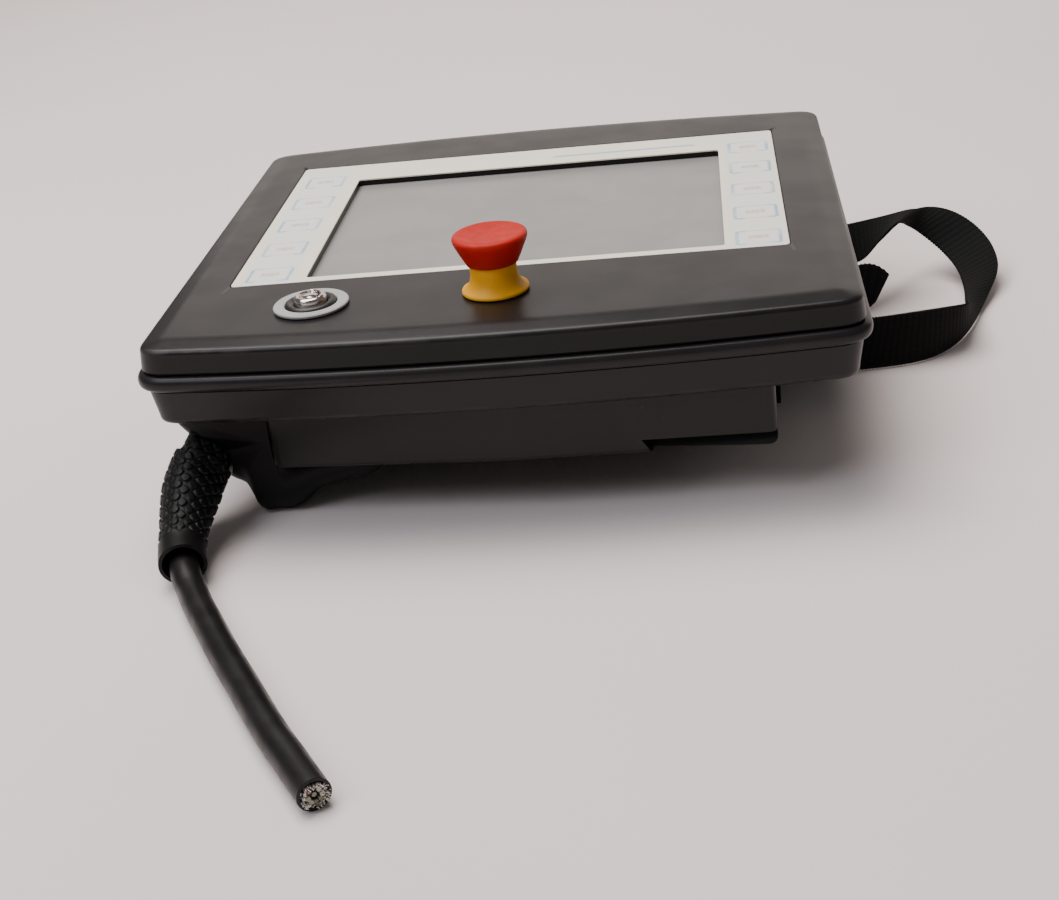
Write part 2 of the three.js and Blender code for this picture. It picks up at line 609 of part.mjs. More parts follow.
// Stations along the strap: a point on its outer edge and the point across from it on its inner edge.
const STRAP_EDGES = [
  [[105.3, -32.5, 1], [105.3, -32.5, 26]],
  [[105.5, -21, 1], [105.5, -21, 26]],
  [[111, -10.7, 0.6], [112, -10.7, 25.6]],
  [[125, -6.4, 0.4], [128, -5.5, 25]],
  [[145.4, -5.6, 0.3], [151.1, -1.6, 24]],
  [[169.1, -1.8, 0.3], [171.3, 0.1, 24.8]],
  [[184.2, 9, 0.3], [184.3, 3.3, 24.4]],
  [[196.1, 26.6, 1], [193.9, 12.2, 21.5]],
  [[208.8, 56.2, 3], [197.4, 36.1, 13.4]],
  [[219.5, 82.3, 9], [200.4, 65.6, 9.2]],
  [[219.9, 99.8, 15], [199.8, 84.9, 10.7]],
  [[214.2, 113.8, 21], [194.2, 99.4, 15.2]],
  [[204.4, 120.1, 27], [185.5, 103.6, 22.7]],
  [[192.5, 119.8, 31], [178.7, 98.4, 29.3]],
  [[180.3, 105.3, 35], [171.3, 79.4, 37.5]],
  [[167.2, 93.8, 37], [162.1, 69, 33.4]],
  [[150.2, 81.7, 39], [151.2, 59.2, 27.3]],
  [[131.2, 77, 38], [132.2, 53.5, 30]],
  [[115.2, 73.9, 36], [115.1, 49.4, 31]],
  [[107, 72.8, 29], [107, 48.3, 27]],
  [[105.3, 72.8, 21], [105.3, 48.3, 20]],
  [[105.3, 72.8, 8], [105.3, 48.3, 8]],
];

const TAIL_EDGES = [
  [[105.4, 9.7, 8], [105.4, 11.6, 33]],
  [[113, 10.8, 9], [114, 16.8, 34]],
  [[129.1, 15.9, 11], [131.1, 23.9, 35]],
  [[145.2, 24.1, 13], [148.2, 34.2, 35.5]],
  [[150.4, 28, 14.2], [156.5, 38.5, 34]],
  [[153.2, 30.6, 15], [160.5, 41, 30]],
];

// A band of even thickness between two edges.
function band(edges, thickness) {
  const lower = edges.map(([point]) => new THREE.Vector3(...point));
  const upper = edges.map(([, point]) => new THREE.Vector3(...point));
  const rings = lower.map((low, station) => {
    const high = upper[station];
    const before = Math.max(station - 1, 0);
    const after = Math.min(station + 1, lower.length - 1);
    const ahead = lower[after].clone().add(upper[after]).sub(lower[before]).sub(upper[before]);
    const across = high.clone().sub(low);
    const out = ahead.cross(across).normalize().multiplyScalar(thickness / 2);
    return [low.clone().add(out), low.clone().sub(out), high.clone().sub(out), high.clone().add(out)];
  });
  return loft(rings);
}

// A clamping plate over the strap on the cover's side wall, standing on feet beside the strap.
function strapPlate([y0, z0], [y1, z1], feet) {
  const foot = COVER.right + GAP;
  const face = block([106.6, y0, z0], [108.4, y1, z1]);
  const heads = feet.map((y) => {
    const head = new THREE.CylinderGeometry(2.6, 2.6, 1.6, 12).rotateZ(Math.PI / 2);
    return head.translate(109, y, (z0 + z1) / 2);
  });
  return join([face, ...heads, ...feet.map((y) => block([foot, y - 1.5, z0], [107, y + 1.5, z1]))]);
}

piece("hand_strap", band(STRAP_EDGES, STRAP_THICKNESS), "webbing");
piece("strap_tail", band(TAIL_EDGES, STRAP_THICKNESS), "webbing");
piece("strap_plate_front", strapPlate([-38, 2], [-24, 25], [-35]), "steel");
piece("strap_plate_rear", strapPlate([43.8, 9], [77.3, 18], [45.8, 75.3]), "steel");

// ---------------------------------------------------------------- screws

function screw(x, y, seat, tip) {
  const profile = [[0, seat - 2.4], [3.1, seat - 2.4], [3.1, seat - 0.1], [SCREW_RADIUS, seat - 0.1], [SCREW_RADIUS, tip], [0, tip]];
  const driver = new THREE.CylinderGeometry(1.4, 1.4, 2, 6).rotateX(Math.PI / 2).translate(x, y, seat - 2.4);
  return cut(turned(x, y, profile, 14), [driver]);
}

SHELL_SCREWS.forEach(([x, y], place) => {
  piece(`shell_screw_${place + 1}`, screw(x, y, TRAY_Z + 3.8, CAVITY_TOP - 4), "steel");
});
COVER_SCREWS.forEach(([x, y], place) => {
  const seat = y > 0 ? TRAY_Z - 4 - GAP : TRAY_Z - 6.2;
  piece(`cover_screw_${place + 1}`, screw(x, y, seat, TRAY_Z + WALL + 3), "steel");
});

export default part;
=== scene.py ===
"""Looks of a pendant control station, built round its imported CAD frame.

Each operator below makes one piece, or one group of like pieces, as a surface worked out with numpy,
gives it a procedural material and lets it ride on its CAD body. Lengths are metres unless a name
ends in _mm. X is to the right, Y away from the operator and Z up out of the screen.
"""

import math

import bpy
import numpy as np
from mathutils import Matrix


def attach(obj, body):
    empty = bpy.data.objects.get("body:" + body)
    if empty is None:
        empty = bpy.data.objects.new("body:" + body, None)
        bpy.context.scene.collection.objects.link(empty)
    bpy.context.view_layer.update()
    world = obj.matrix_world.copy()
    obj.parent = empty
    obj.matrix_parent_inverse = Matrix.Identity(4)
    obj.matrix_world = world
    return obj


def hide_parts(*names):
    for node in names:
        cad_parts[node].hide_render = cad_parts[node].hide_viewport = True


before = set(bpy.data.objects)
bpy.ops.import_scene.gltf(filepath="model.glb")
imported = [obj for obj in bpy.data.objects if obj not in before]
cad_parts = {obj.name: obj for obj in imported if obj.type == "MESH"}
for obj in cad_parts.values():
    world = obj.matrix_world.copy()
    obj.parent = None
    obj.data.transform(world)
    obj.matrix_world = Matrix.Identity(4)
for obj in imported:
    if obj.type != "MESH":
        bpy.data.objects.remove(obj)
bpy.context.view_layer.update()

MM = 0.001

bl_info = {
    "name": "Pendant control station",
    "version": (1, 0, 0),
    "blender": (4, 5, 0),
    "location": "3D View > Sidebar > Pendant",
    "description": "Builds the visible surfaces and finishes of a hand-held control pendant",
    "category": "Object",
}


# ---------------------------------------------------------------- colours and settings


def linear(code):
    """An sRGB hex colour as linear red, green, blue and alpha."""
    channels = [int(code[place:place + 2], 16) / 255 for place in (0, 2, 4)]
    return tuple(c / 12.92 if c <= 0.04045 else ((c + 0.055) / 1.055) ** 2.4 for c in channels) + (1.0,)


def colour_property(name, code, description):
    """A colour setting with its default as sRGB hex."""
    return bpy.props.FloatVectorProperty(
        name=name, description=description, subtype="COLOR", size=4, min=0, max=1, default=linear(code)
    )


def length_property(name, millimetres, description):
    """A length setting in metres with its default in millimetres."""
    return bpy.props.FloatProperty(
        name=name, description=description, unit="LENGTH", subtype="DISTANCE", default=millimetres * MM
    )


class PendantColours(bpy.types.PropertyGroup):
    """The finishes that a user would change."""

    housing: colour_property("Housing", "171516", "Moulded ABS of both shells and the cover")
    # The scuff colour also paints a highlight along the front shell's crease, strongest at its front left end.
    scuff_and_highlight: colour_property("Scuffs", "5A5755", "Rubbed edges of the housing")
    seal: colour_property("Seal", "211F20", "Rubber bead between the shells")
    grip: colour_property("Grip", "0B0B0B", "Rubber of the grip and the bend sleeve")
    film: colour_property("Overlay", "FCF3E0", "Printed polyester overlay")
    key: colour_property("Keys", "F0F1EA", "Keypad areas of the overlay")
    print_blue: colour_property("Key outlines", "79AECF", "Pale blue print round the keys")
    print_warm: colour_property("Key legends", "D2B8A0", "Faint print in the middle of the keys")
    pane: colour_property("Touch pane", "8B8886", "Switched-off touch film")
    red: colour_property("Stop cap", "BB1A0C", "Moulded red of the emergency stop")
    yellow: colour_property("Stop collar", "F8B00C", "Moulded yellow of the emergency stop")
    ring: colour_property("Key switch ring", "ADAEAA", "Anodised ring round the key switch")
    jacket: colour_property("Cable jacket", "151213", "Polyurethane jacket of the cable")
    webbing: colour_property("Webbing", "141414", "Woven hand strap")
    floor: colour_property("Floor", "F0E5E3", "Sheet that the object stands on")


class PendantSizes(bpy.types.PropertyGroup):
    """The lengths that a user would change."""

    slope: length_property("Face slope", 13, "From the wall to the bend where the front face starts to slope")
    crease: length_property("Crease radius", 2.2, "Radius between the roll and the side wall")
    cover_edge: length_property("Cover edge", 2.4, "Rounding of the cover's edges")
    bump: length_property("Sleeve bumps", 0.65, "Height of the bend sleeve's diamonds")
    picot: length_property("Strap edge", 0.5, "Depth of the strap's woven edge loops")


# ---------------------------------------------------------------- dimensions of the frame, in millimetres

FACE_Z, SEAL_Z, TRAY_Z = 85, 71, 51
RIM_UP, RIM_DOWN = SEAL_Z + 2.3, 66.3
HOUSING = {"width": 278, "depth": 273, "bow": 7, "corner": 12}
RECESS = {"width": 229, "depth": 161.5, "y": 13, "corner": 2.5}
WINDOW = {"width": 171.6, "depth": 131.3, "y": 3.2, "corner": 1.5}
WINDOW_X = 2.7
KEY_X = {"left": -99.6, "right": 102.2}
KEY_Y, KEY_PITCH, KEY_COUNT = 6.6, 31.3, 5
RECESS_Z, WELL_Z, CAVITY_TOP = 83.9, 82.9, 82
WELL = (11.5, 71.5)  # half the width and depth of the hollow under each column of keys
PANEL_HOLE = 8.2
COVER_LEFT, COVER_DEEP_LEFT, COVER_RIGHT = -95, -58, 104
COVER_FRONT, COVER_WING, COVER_STEP, COVER_BACK = -125, -72, -33, 88
COVER_FLOOR = 25.3  # underside of the cover's shallow part
GAP = 0.3
HAIR = 0.04  # keeps faces of blocks that are joined from falling together
STOP_XY = (-0.8, -94)
LOCK_XY = (-74, -96)
COUNTS = (44, 36, 12)  # points along the front or back, along each side and round each corner


# ---------------------------------------------------------------- surfaces


def frame_line(width, depth, y=0.0, bow=0.0, corner=5.0, counts=COUNTS):
    """Closed line round a rectangle, anticlockwise from its front left.

    The front and back are parabolas that stand out by bow at their middle, the sides are straight and
    each corner is a quadratic curve that leaves the parabola along its own slope.
    """
    w, d, r = width / 2, depth / 2, corner
    e = d - bow
    lean = 2 * bow / (w - r) * r
    along, side, turn = (np.linspace(0, 1, count, endpoint=False) for count in counts)
    x = (w - r) * (2 * along - 1)
    front = np.stack([x, -e - bow * (1 - (x / (w - r)) ** 2)], 1)
    t = turn[:, None]
    curve = (1 - t) ** 2 * [w - r, -e] + 2 * t * (1 - t) * [w, lean - e] + t**2 * [w, r - e]
    right = np.stack([np.full(len(side), w), (e - r) * (2 * side - 1)], 1)
    back_curve = (1 - t) ** 2 * [w, e - r] + 2 * t * (1 - t) * [w, e - lean] + t**2 * [w - r, e]
    half = np.concatenate([front, curve, right, back_curve])
    return np.concatenate([half, -half]) + [0, y]


def housing_line(inset, z):
    """The housing's outline moved inwards by an inset, at one height."""
    size = {
        "width": HOUSING["width"] - 2 * inset,
        "depth": HOUSING["depth"] - 2 * inset,
        "corner": max(HOUSING["corner"] - inset, 2),
    }
    return at_height(frame_line(bow=HOUSING["bow"], **size), z)


def at_height(line, z):
    """A flat line lifted to a height."""
    return np.column_stack([line, np.full(len(line), float(z))])


def grid_faces(rows, columns, wrap_rows=False, wrap_columns=True):
    """Quads of a grid: each joins a point with its neighbour in the row and the two in the next row."""
    row = np.arange(rows if wrap_rows else rows - 1)[:, None]
    column = np.arange(columns if wrap_columns else columns - 1)[None, :]
    here, above = row * columns, (row + 1) % rows * columns
    right = (column + 1) % columns
    return np.stack([here + column, here + right, above + right, above + column], -1).reshape(-1, 4)


def make_object(name, points_mm, faces, sharp=35, attributes=None):
    """A mesh object from points in millimetres, shaded smooth except across edges sharper than an angle."""
    mesh = bpy.data.meshes.new(name)
    mesh.from_pydata((np.asarray(points_mm) * MM).tolist(), [], faces)
    mesh.update()
    mesh.shade_smooth()
    mesh.set_sharp_from_angle(angle=math.radians(sharp))
    for key, values in (attributes or {}).items():
        values = np.pad(values, (0, len(points_mm) - len(values)))  # the middles of closed ends get none
        mesh.attributes.new(key, "FLOAT", "POINT").data.foreach_set("value", values.astype(np.float32))
    piece = bpy.data.objects.new(name, mesh)
    bpy.context.scene.collection.objects.link(piece)
    return piece


def add_uv(piece, uv):
    """A UV map from one pair of values for each vertex."""
    mesh = piece.data
    corners = np.empty(len(mesh.loops), np.int32)
    mesh.loops.foreach_get("vertex_index", corners)
    mesh.uv_layers.new(name="surface").data.foreach_set("uv", uv[corners].astype(np.float32).ravel())


def add_grid_uv(piece, rows, columns, along, around):
    """A UV map over a wrapped grid's quads, along for each row and around for each column and one more."""
    row, column = (v.ravel() for v in np.meshgrid(np.arange(rows - 1), np.arange(columns), indexing="ij"))
    u = np.stack([around[column], around[column + 1], around[column + 1], around[column]], 1)
    v = np.stack([along[row], along[row], along[row + 1], along[row + 1]], 1)
    quads = np.stack([u, v], -1).reshape(-1, 2)
    uv = np.zeros((len(piece.data.loops), 2), np.float32)
    uv[: len(quads)] = quads
    piece.data.uv_layers.new(name="surface").data.foreach_set("uv", uv.ravel())


def closed_band(name, rings, **options):
    """A body like a frame: rings of equal count, the last joined back to the first."""
    rings = np.asarray(rings)
    faces = grid_faces(len(rings), rings.shape[1], wrap_rows=True).tolist()
    return make_object(name, rings.reshape(-1, 3), faces, **options)


def closed_stack(name, rings, **options):
    """A body through a stack of rings, each end closed by a fan of triangles to the ring's middle."""
    rings = np.asarray(rings, float)
    rows, columns = rings.shape[:2]
    points = np.concatenate([rings.reshape(-1, 3), [rings[0].mean(0), rings[-1].mean(0)]])
    low, high = rows * columns, rows * columns + 1
    place = np.arange(columns)
    after = (place + 1) % columns
    last = (rows - 1) * columns
    foot = np.stack([np.full(columns, low), after, place], 1)
    head = np.stack([np.full(columns, high), last + place, last + after], 1)
    faces = grid_faces(rows, columns).tolist() + foot.tolist() + head.tolist()
    return make_object(name, points, faces, **options)


def circle_line(x, y, radius, sides=72):
    """A circle, anticlockwise."""
    angle = np.linspace(0, 2 * math.pi, sides, endpoint=False)
    return np.stack([x + radius * np.cos(angle), y + radius * np.sin(angle)], 1)


def turned(name, place, profile, sides=72, **options):
    """A body turned about an upright axis: a profile of [radius, height] pairs that starts and ends near it."""
    rings = [at_height(circle_line(*place, max(radius, 0.02), sides), z) for radius, z in profile]
    return closed_stack(name, rings, **options)


def turned_ring(name, place, profile, sides=72, **options):
    """A hollow body turned about an upright axis: the profile closes on itself."""
    rings = [at_height(circle_line(*place, radius, sides), z) for radius, z in profile]
    return closed_band(name, rings, **options)


def arc(middle, radius, start, end, steps):
    """Points on an arc in the plane of radius and height, angles in degrees."""
    angle = np.radians(np.linspace(start, end, steps))
    return [(middle[0] + radius * math.cos(a), middle[1] + radius * math.sin(a)) for a in angle]


def bezier(start, control, end, steps):
    """Points on a quadratic curve, its start left out."""
    t = np.linspace(0, 1, steps + 1)[1:, None]
    return (1 - t) ** 2 * np.array(start) + 2 * t * (1 - t) * np.array(control) + t**2 * np.array(end)


def smooth_path(points, count):
    """A route through points by cubic pieces (Catmull-Rom), resampled at even steps, and each step's run."""
    p = np.asarray(points, float)
    p = np.concatenate([[2 * p[0] - p[1]], p, [2 * p[-1] - p[-2]]])
    t = np.linspace(0, 1, 24, endpoint=False)[None, :, None]
    a, b, c, d = (p[k:len(p) - 3 + k, None, :] for k in range(4))
    curve = 0.5 * (2 * b + (c - a) * t + (2 * a - 5 * b + 4 * c - d) * t**2 + (3 * b - a - 3 * c + d) * t**3)
    curve = np.concatenate([curve.reshape(-1, p.shape[1]), p[-2][None]])
    run = np.concatenate([[0], np.cumsum(np.linalg.norm(np.diff(curve[:, :3], axis=0), axis=1))])
    even = np.linspace(0, run[-1], count)
    return np.stack([np.interp(even, run, curve[:, k]) for k in range(p.shape[1])], 1), even


def path_axes(path):
    """Two directions across a path: one level, one as far up as it can be."""
    along = np.gradient(path, axis=0)
    along /= np.linalg.norm(along, axis=1)[:, None]
    level = np.cross(along, [0, 0, 1])
    level /= np.linalg.norm(level, axis=1)[:, None]
    return level, np.cross(level, along)


def tube_rings(path, radius, sides):
    """Rings across a path; the radius is a number, one value for each row, or a grid of values."""
    level, up = path_axes(path)
    angle = np.linspace(0, 2 * math.pi, sides, endpoint=False)
    radius = np.broadcast_to(np.asarray(radius, float).reshape(-1, 1) if np.ndim(radius) < 2 else radius,
                             (len(path), sides))
    across = np.cos(angle)[None, :, None] * level[:, None] + np.sin(angle)[None, :, None] * up[:, None]
    return path[:, None] - radius[..., None] * across[:, ::-1]


def settle(piece):
    """Makes a piece's modifiers part of its mesh."""
    bpy.context.view_layer.update()
    result = bpy.data.meshes.new_from_object(piece.evaluated_get(bpy.context.evaluated_depsgraph_get()))
    piece.modifiers.clear()
    piece.data = result


def carve(piece, tools, operation="DIFFERENCE"):
    """Cuts closed tool objects out of a piece, or joins them to it, with exact booleans and removes them."""
    for tool in tools:
        cut = piece.modifiers.new("cut", "BOOLEAN")
        cut.operation, cut.solver, cut.object = operation, "EXACT", tool
    settle(piece)
    for tool in tools:
        bpy.data.objects.remove(tool)


def box_tool(low, high):
    """A closed box between two corners, for cutting."""
    low, high = np.array(low, float), np.array(high, float)
    line = np.array([[0, 0], [1, 0], [1, 1], [0, 1]]) * (high - low)[:2] + low[:2]
    return closed_stack("tool", [at_height(line, low[2]), at_height(line, high[2])])


def rod_tool(x, y, bottom, top, radius):
    """A closed upright rod, for cutting."""
    line = circle_line(x, y, radius, 40)
    return closed_stack("tool", [at_height(line, bottom), at_height(line, top)])


def softened(node, width_mm, limit=40):
    """A copy of a CAD node with its points merged, its flats made whole and its edges rounded."""
    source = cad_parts[node]
    piece = bpy.data.objects.new(node + "_finish", source.data.copy())
    bpy.context.scene.collection.objects.link(piece)
    piece.data.materials.clear()
    weld = piece.modifiers.new("weld", "WELD")
    weld.merge_threshold = 0.00001
    flats = piece.modifiers.new("flats", "DECIMATE")
    flats.decimate_type, flats.angle_limit = "DISSOLVE", math.radians(1)
    edge = piece.modifiers.new("edge", "BEVEL")
    edge.width, edge.segments, edge.limit_method = width_mm * MM, 3, "ANGLE"
    edge.angle_limit, edge.use_clamp_overlap = math.radians(limit), True
    settle(piece)
    piece.data.shade_smooth()
    piece.data.set_sharp_from_angle(angle=math.radians(limit))
    return piece


def place(piece, body, slot, material, *nodes):
    """Gives a piece its body and its material, and lets it stand for CAD nodes; its slot is not used."""
    piece.data.materials.clear()
    piece.data.materials.append(material)
    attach(piece, body)
    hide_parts(*nodes)
    return piece


def finish_nodes(material, *nodes):
    """Gives CAD nodes that stay as they are their material."""
    for node in nodes:
        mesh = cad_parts[node].data
        mesh.materials.clear()
        mesh.materials.append(material)


# ---------------------------------------------------------------- materials


def add(tree, kind, links=None, **settings):
    """Adds a node with its settings and its sockets, each a value or the output it is joined to."""
    node = tree.nodes.new(kind)
    for key, value in settings.items():
        setattr(node, key, value)
    for socket, value in (links or {}).items():
        if isinstance(value, bpy.types.NodeSocket):
            tree.links.new(value, node.inputs[socket])
        else:
            node.inputs[socket].default_value = value
    return node


def new_material(name, roughness, **sockets):
    """An empty material with its shader, roughness and constant sockets; returns it, its tree and shader."""
    material = bpy.data.materials.new(name)
    material.use_nodes = True
    tree = material.node_tree
    shader = tree.nodes["Principled BSDF"]
    shader.inputs["Roughness"].default_value = roughness
    for socket, value in sockets.items():
        shader.inputs[socket.replace("_", " ")].default_value = value
    return material, tree, shader


def noise(tree, size_mm, detail=2.0, vector=None, stretch=(1, 1, 1)):
    """Noise with features of a size in millimetres, on Object coordinates unless a vector is given."""
    if vector is None:
        vector = add(tree, "ShaderNodeTexCoord").outputs["Object"]
    turned_to = add(tree, "ShaderNodeMapping", {"Vector": vector, "Scale": stretch}).outputs[0]
    scale = 1 / (size_mm * MM)
    return add(tree, "ShaderNodeTexNoise", {"Vector": turned_to, "Scale": scale, "Detail": detail}).outputs["Fac"]


def ramp(tree, value, low, high, out_low=0.0, out_high=1.0):
    """A value taken smoothly from one range to another."""
    links = {"Value": value, "From Min": low, "From Max": high, "To Min": out_low, "To Max": out_high}
    return add(tree, "ShaderNodeMapRange", links, interpolation_type="SMOOTHSTEP").outputs[0]


def math_node(tree, operation, a, b=0.0):
    """One sum on two values."""
    return add(tree, "ShaderNodeMath", {0: a, 1: b}, operation=operation).outputs[0]


def mix(tree, factor, a, b):
    """A colour between two, by a factor."""
    node = add(tree, "ShaderNodeMix", data_type="RGBA")
    for socket, value in ((node.inputs[0], factor), (node.inputs[6], a), (node.inputs[7], b)):
        if isinstance(value, bpy.types.NodeSocket):
            tree.links.new(value, socket)
        else:
            socket.default_value = value
    return node.outputs[2]


def bump(tree, shader, height, depth_mm, strength=1.0):
    """Relief from a height between 0 and 1 and its depth in millimetres."""
    links = {"Height": height, "Distance": depth_mm * MM, "Strength": strength}
    tree.links.new(add(tree, "ShaderNodeBump", links).outputs[0], shader.inputs["Normal"])


def shaded(colour, factor):
    """A colour made lighter or darker."""
    return tuple(min(c * factor, 1) for c in colour[:3]) + (1.0,)


def textured_abs(colours):
    """Charcoal ABS moulded in a spark-eroded tool: a fine even grain, dull, with lighter edges that are partly
    rubbed wear and partly a painted highlight along the front crease.
    """
    material, tree, shader = new_material("abs_charcoal_spark_textured", 0.34, Specular_IOR_Level=0.26)
    grain = noise(tree, 0.7, 3)  # real grain is about 0.2 mm, drawn coarser so that it shows
    mottle = noise(tree, 60, 3)
    base = mix(tree, ramp(tree, mottle, 0.35, 0.65), shaded(colours.housing, 0.97), shaded(colours.housing, 1.04))
    # The wear attribute marks rubbed edges and a painted highlight along the front crease; both lighten the housing
    # towards the scuff colour.
    wear_and_highlight = add(tree, "ShaderNodeAttribute", attribute_name="wear_and_highlight").outputs["Fac"]
    broken = ramp(tree, noise(tree, 5, 4, stretch=(0.35, 1, 1)), 0.42, 0.62)
    rubbed_and_lit = math_node(tree, "MULTIPLY", math_node(tree, "MULTIPLY", wear_and_highlight, broken), 0.32)
    specks = ramp(tree, noise(tree, 2.2, 4), 0.75, 0.8, 0, 0.3)
    lighter = math_node(tree, "MAXIMUM", rubbed_and_lit, specks)
    tree.links.new(mix(tree, lighter, base, tuple(colours.scuff_and_highlight)), shader.inputs["Base Color"])
    tree.links.new(ramp(tree, noise(tree, 22, 4), 0.3, 0.7, 0.32, 0.37), shader.inputs["Roughness"])
    bump(tree, shader, grain, 0.05, 0.55)
    return material


def satin_rubber(name, colour, roughness, depth_mm=0.02):
    """Moulded rubber: almost black, with a soft sheen and a faint bloom on its surface."""
    material, tree, shader = new_material(name, roughness, Specular_IOR_Level=0.2)
    bloom = ramp(tree, noise(tree, 18, 4), 0.4, 0.7, 0, 0.5)
    tree.links.new(mix(tree, bloom, colour, shaded(colour, 1.5)), shader.inputs["Base Color"])
    bump(tree, shader, noise(tree, 0.8, 2), depth_mm, 0.5)
    return material


def key_pattern(tree, colours, base):
    """Pale blue brackets near the pad's edge and a faint warm bar in its middle, from UVs in centimetres."""
    place_uv = add(tree, "ShaderNodeSeparateXYZ", {0: add(tree, "ShaderNodeUVMap", uv_map="surface").outputs[0]})
    u = math_node(tree, "ABSOLUTE", place_uv.outputs[0])
    v = math_node(tree, "ABSOLUTE", place_uv.outputs[1])
    edge = math_node(tree, "MAXIMUM", math_node(tree, "SUBTRACT", u, 0.85), math_node(tree, "SUBTRACT", v, 0.75))
    line = ramp(tree, math_node(tree, "ABSOLUTE", edge), 0.045, 0.085, 1, 0)
    bracket = ramp(tree, u, 0.4, 0.58, 0.3, 1)
    worn = ramp(tree, noise(tree, 14, 2), 0.35, 0.6, 0.3, 0.7)
    blue = math_node(tree, "MULTIPLY", math_node(tree, "MULTIPLY", line, bracket), worn)
    bar = math_node(tree, "MULTIPLY", ramp(tree, u, 0.36, 0.44, 1, 0), ramp(tree, v, 0.14, 0.24, 1, 0))
    faded = math_node(tree, "MULTIPLY", bar, ramp(tree, noise(tree, 1.1, 3), 0.4, 0.6, 0.3, 0.9))
    return mix(tree, blue, mix(tree, faded, base, tuple(colours.print_warm)), tuple(colours.print_blue))


def key_film(colours):
    """Embossed polyester key pad, printed on its back: pale, with blue brackets worn faint by fingers."""
    material, tree, shader = new_material("polyester_key_film_printed", 0.42, Coat_Weight=0.08)
    tree.links.new(key_pattern(tree, colours, tuple(colours.key)), shader.inputs["Base Color"])
    bump(tree, shader, noise(tree, 0.6, 2), 0.01, 0.5)
    return material


def overlay_film(colours):
    """Hard-coated polyester overlay: cream, cooler in the key columns, with a plain pale blue rule on top."""
    material, tree, shader = new_material("polyester_overlay_printed", 0.42, Coat_Weight=0.08)
    xyz = add(tree, "ShaderNodeSeparateXYZ", {0: add(tree, "ShaderNodeTexCoord").outputs["Object"]})
    x, y = xyz.outputs[0], xyz.outputs[1]
    centred = math_node(tree, "ABSOLUTE", math_node(tree, "SUBTRACT", x, 0.0013))
    from_column = math_node(tree, "ABSOLUTE", math_node(tree, "SUBTRACT", centred, 0.1009))
    column = ramp(tree, from_column, 0.0095, 0.0125, 1, 0)
    aged = mix(tree, ramp(tree, noise(tree, 40, 3), 0.35, 0.7), tuple(colours.film), shaded(colours.film, 0.95))
    base = mix(tree, math_node(tree, "MULTIPLY", column, 0.8), aged, tuple(colours.key))
    rule_x = ramp(tree, math_node(tree, "ABSOLUTE", math_node(tree, "SUBTRACT", x, 0.044)), 0.0325, 0.0345, 1, 0)
    rule_y = ramp(tree, math_node(tree, "ABSOLUTE", math_node(tree, "SUBTRACT", y, 0.0795)), 0.0009, 0.0013, 1, 0)
    rule = math_node(tree, "MULTIPLY", math_node(tree, "MULTIPLY", rule_x, rule_y), 0.75)
    tree.links.new(mix(tree, rule, base, tuple(colours.print_blue)), shader.inputs["Base Color"])
    bump(tree, shader, noise(tree, 0.6, 2), 0.01, 0.5)
    return material


def touch_film(colours):
    """Anti-glare touch film over a dark display: flat grey, satin, with a few finger smudges."""
    material, tree, shader = new_material("touch_film_anti_glare", 0.3)
    haze = ramp(tree, noise(tree, 45, 3), 0.35, 0.7)
    tree.links.new(mix(tree, haze, tuple(colours.pane), shaded(colours.pane, 1.05)), shader.inputs["Base Color"])
    tree.links.new(ramp(tree, noise(tree, 25, 4), 0.35, 0.7, 0.28, 0.4), shader.inputs["Roughness"])
    bump(tree, shader, noise(tree, 0.5, 1), 0.004, 0.4)
    return material


def moulded_plastic(name, colour, roughness=0.35, gloss=0.5):
    """Moulded plastic: even colour, a soft gloss and a trace of dust in its mottle."""
    material, tree, shader = new_material(name, roughness, Specular_IOR_Level=gloss)
    mottle = ramp(tree, noise(tree, 9, 4), 0.35, 0.7)
    tree.links.new(mix(tree, mottle, shaded(colour, 0.95), shaded(colour, 1.05)), shader.inputs["Base Color"])
    tree.links.new(ramp(tree, noise(tree, 4, 3), 0.3, 0.7, roughness - 0.05, roughness + 0.08),
                   shader.inputs["Roughness"])
    bump(tree, shader, noise(tree, 0.6, 2), 0.012, 0.5)
    return material


def metal(name, code, roughness, streak=(1, 1, 1), size_mm=1.0):
    """A metal finish: its own colour at grazing and facing angles, with drawn or tumbled micro-scratches."""
    material, tree, shader = new_material(name, roughness, Metallic=1.0)
    colour = linear(code)
    tone = ramp(tree, noise(tree, 6, 3, stretch=streak), 0.3, 0.7)
    tree.links.new(mix(tree, tone, shaded(colour, 0.85), colour), shader.inputs["Base Color"])
    tree.links.new(ramp(tree, noise(tree, size_mm, 3, stretch=streak), 0.3, 0.7, roughness * 0.8, roughness * 1.3),
                   shader.inputs["Roughness"])
    bump(tree, shader, noise(tree, size_mm, 2, stretch=streak), 0.01, 0.3)
    return material


def circuit_board():
    """Glass-epoxy board with green solder mask and dark moulded parts standing on it."""
    material, tree, shader = new_material("glass_epoxy_solder_mask", 0.35)
    spot = add(tree, "ShaderNodeTexCoord").outputs["Object"]
    height = add(tree, "ShaderNodeSeparateXYZ", {0: spot}).outputs[2]
    tracks = add(tree, "ShaderNodeTexVoronoi", {"Vector": spot, "Scale": 250.0}, distance="MANHATTAN")
    traced = ramp(tree, tracks.outputs["Distance"], 0.1, 0.2)
    mask = mix(tree, traced, linear("3F8A55"), linear("1B5A33"))
    above = ramp(tree, height, 0.0397, 0.0399)
    tree.links.new(mix(tree, above, mask, linear("222326")), shader.inputs["Base Color"])
    bump(tree, shader, traced, 0.05, 0.5)
    return material


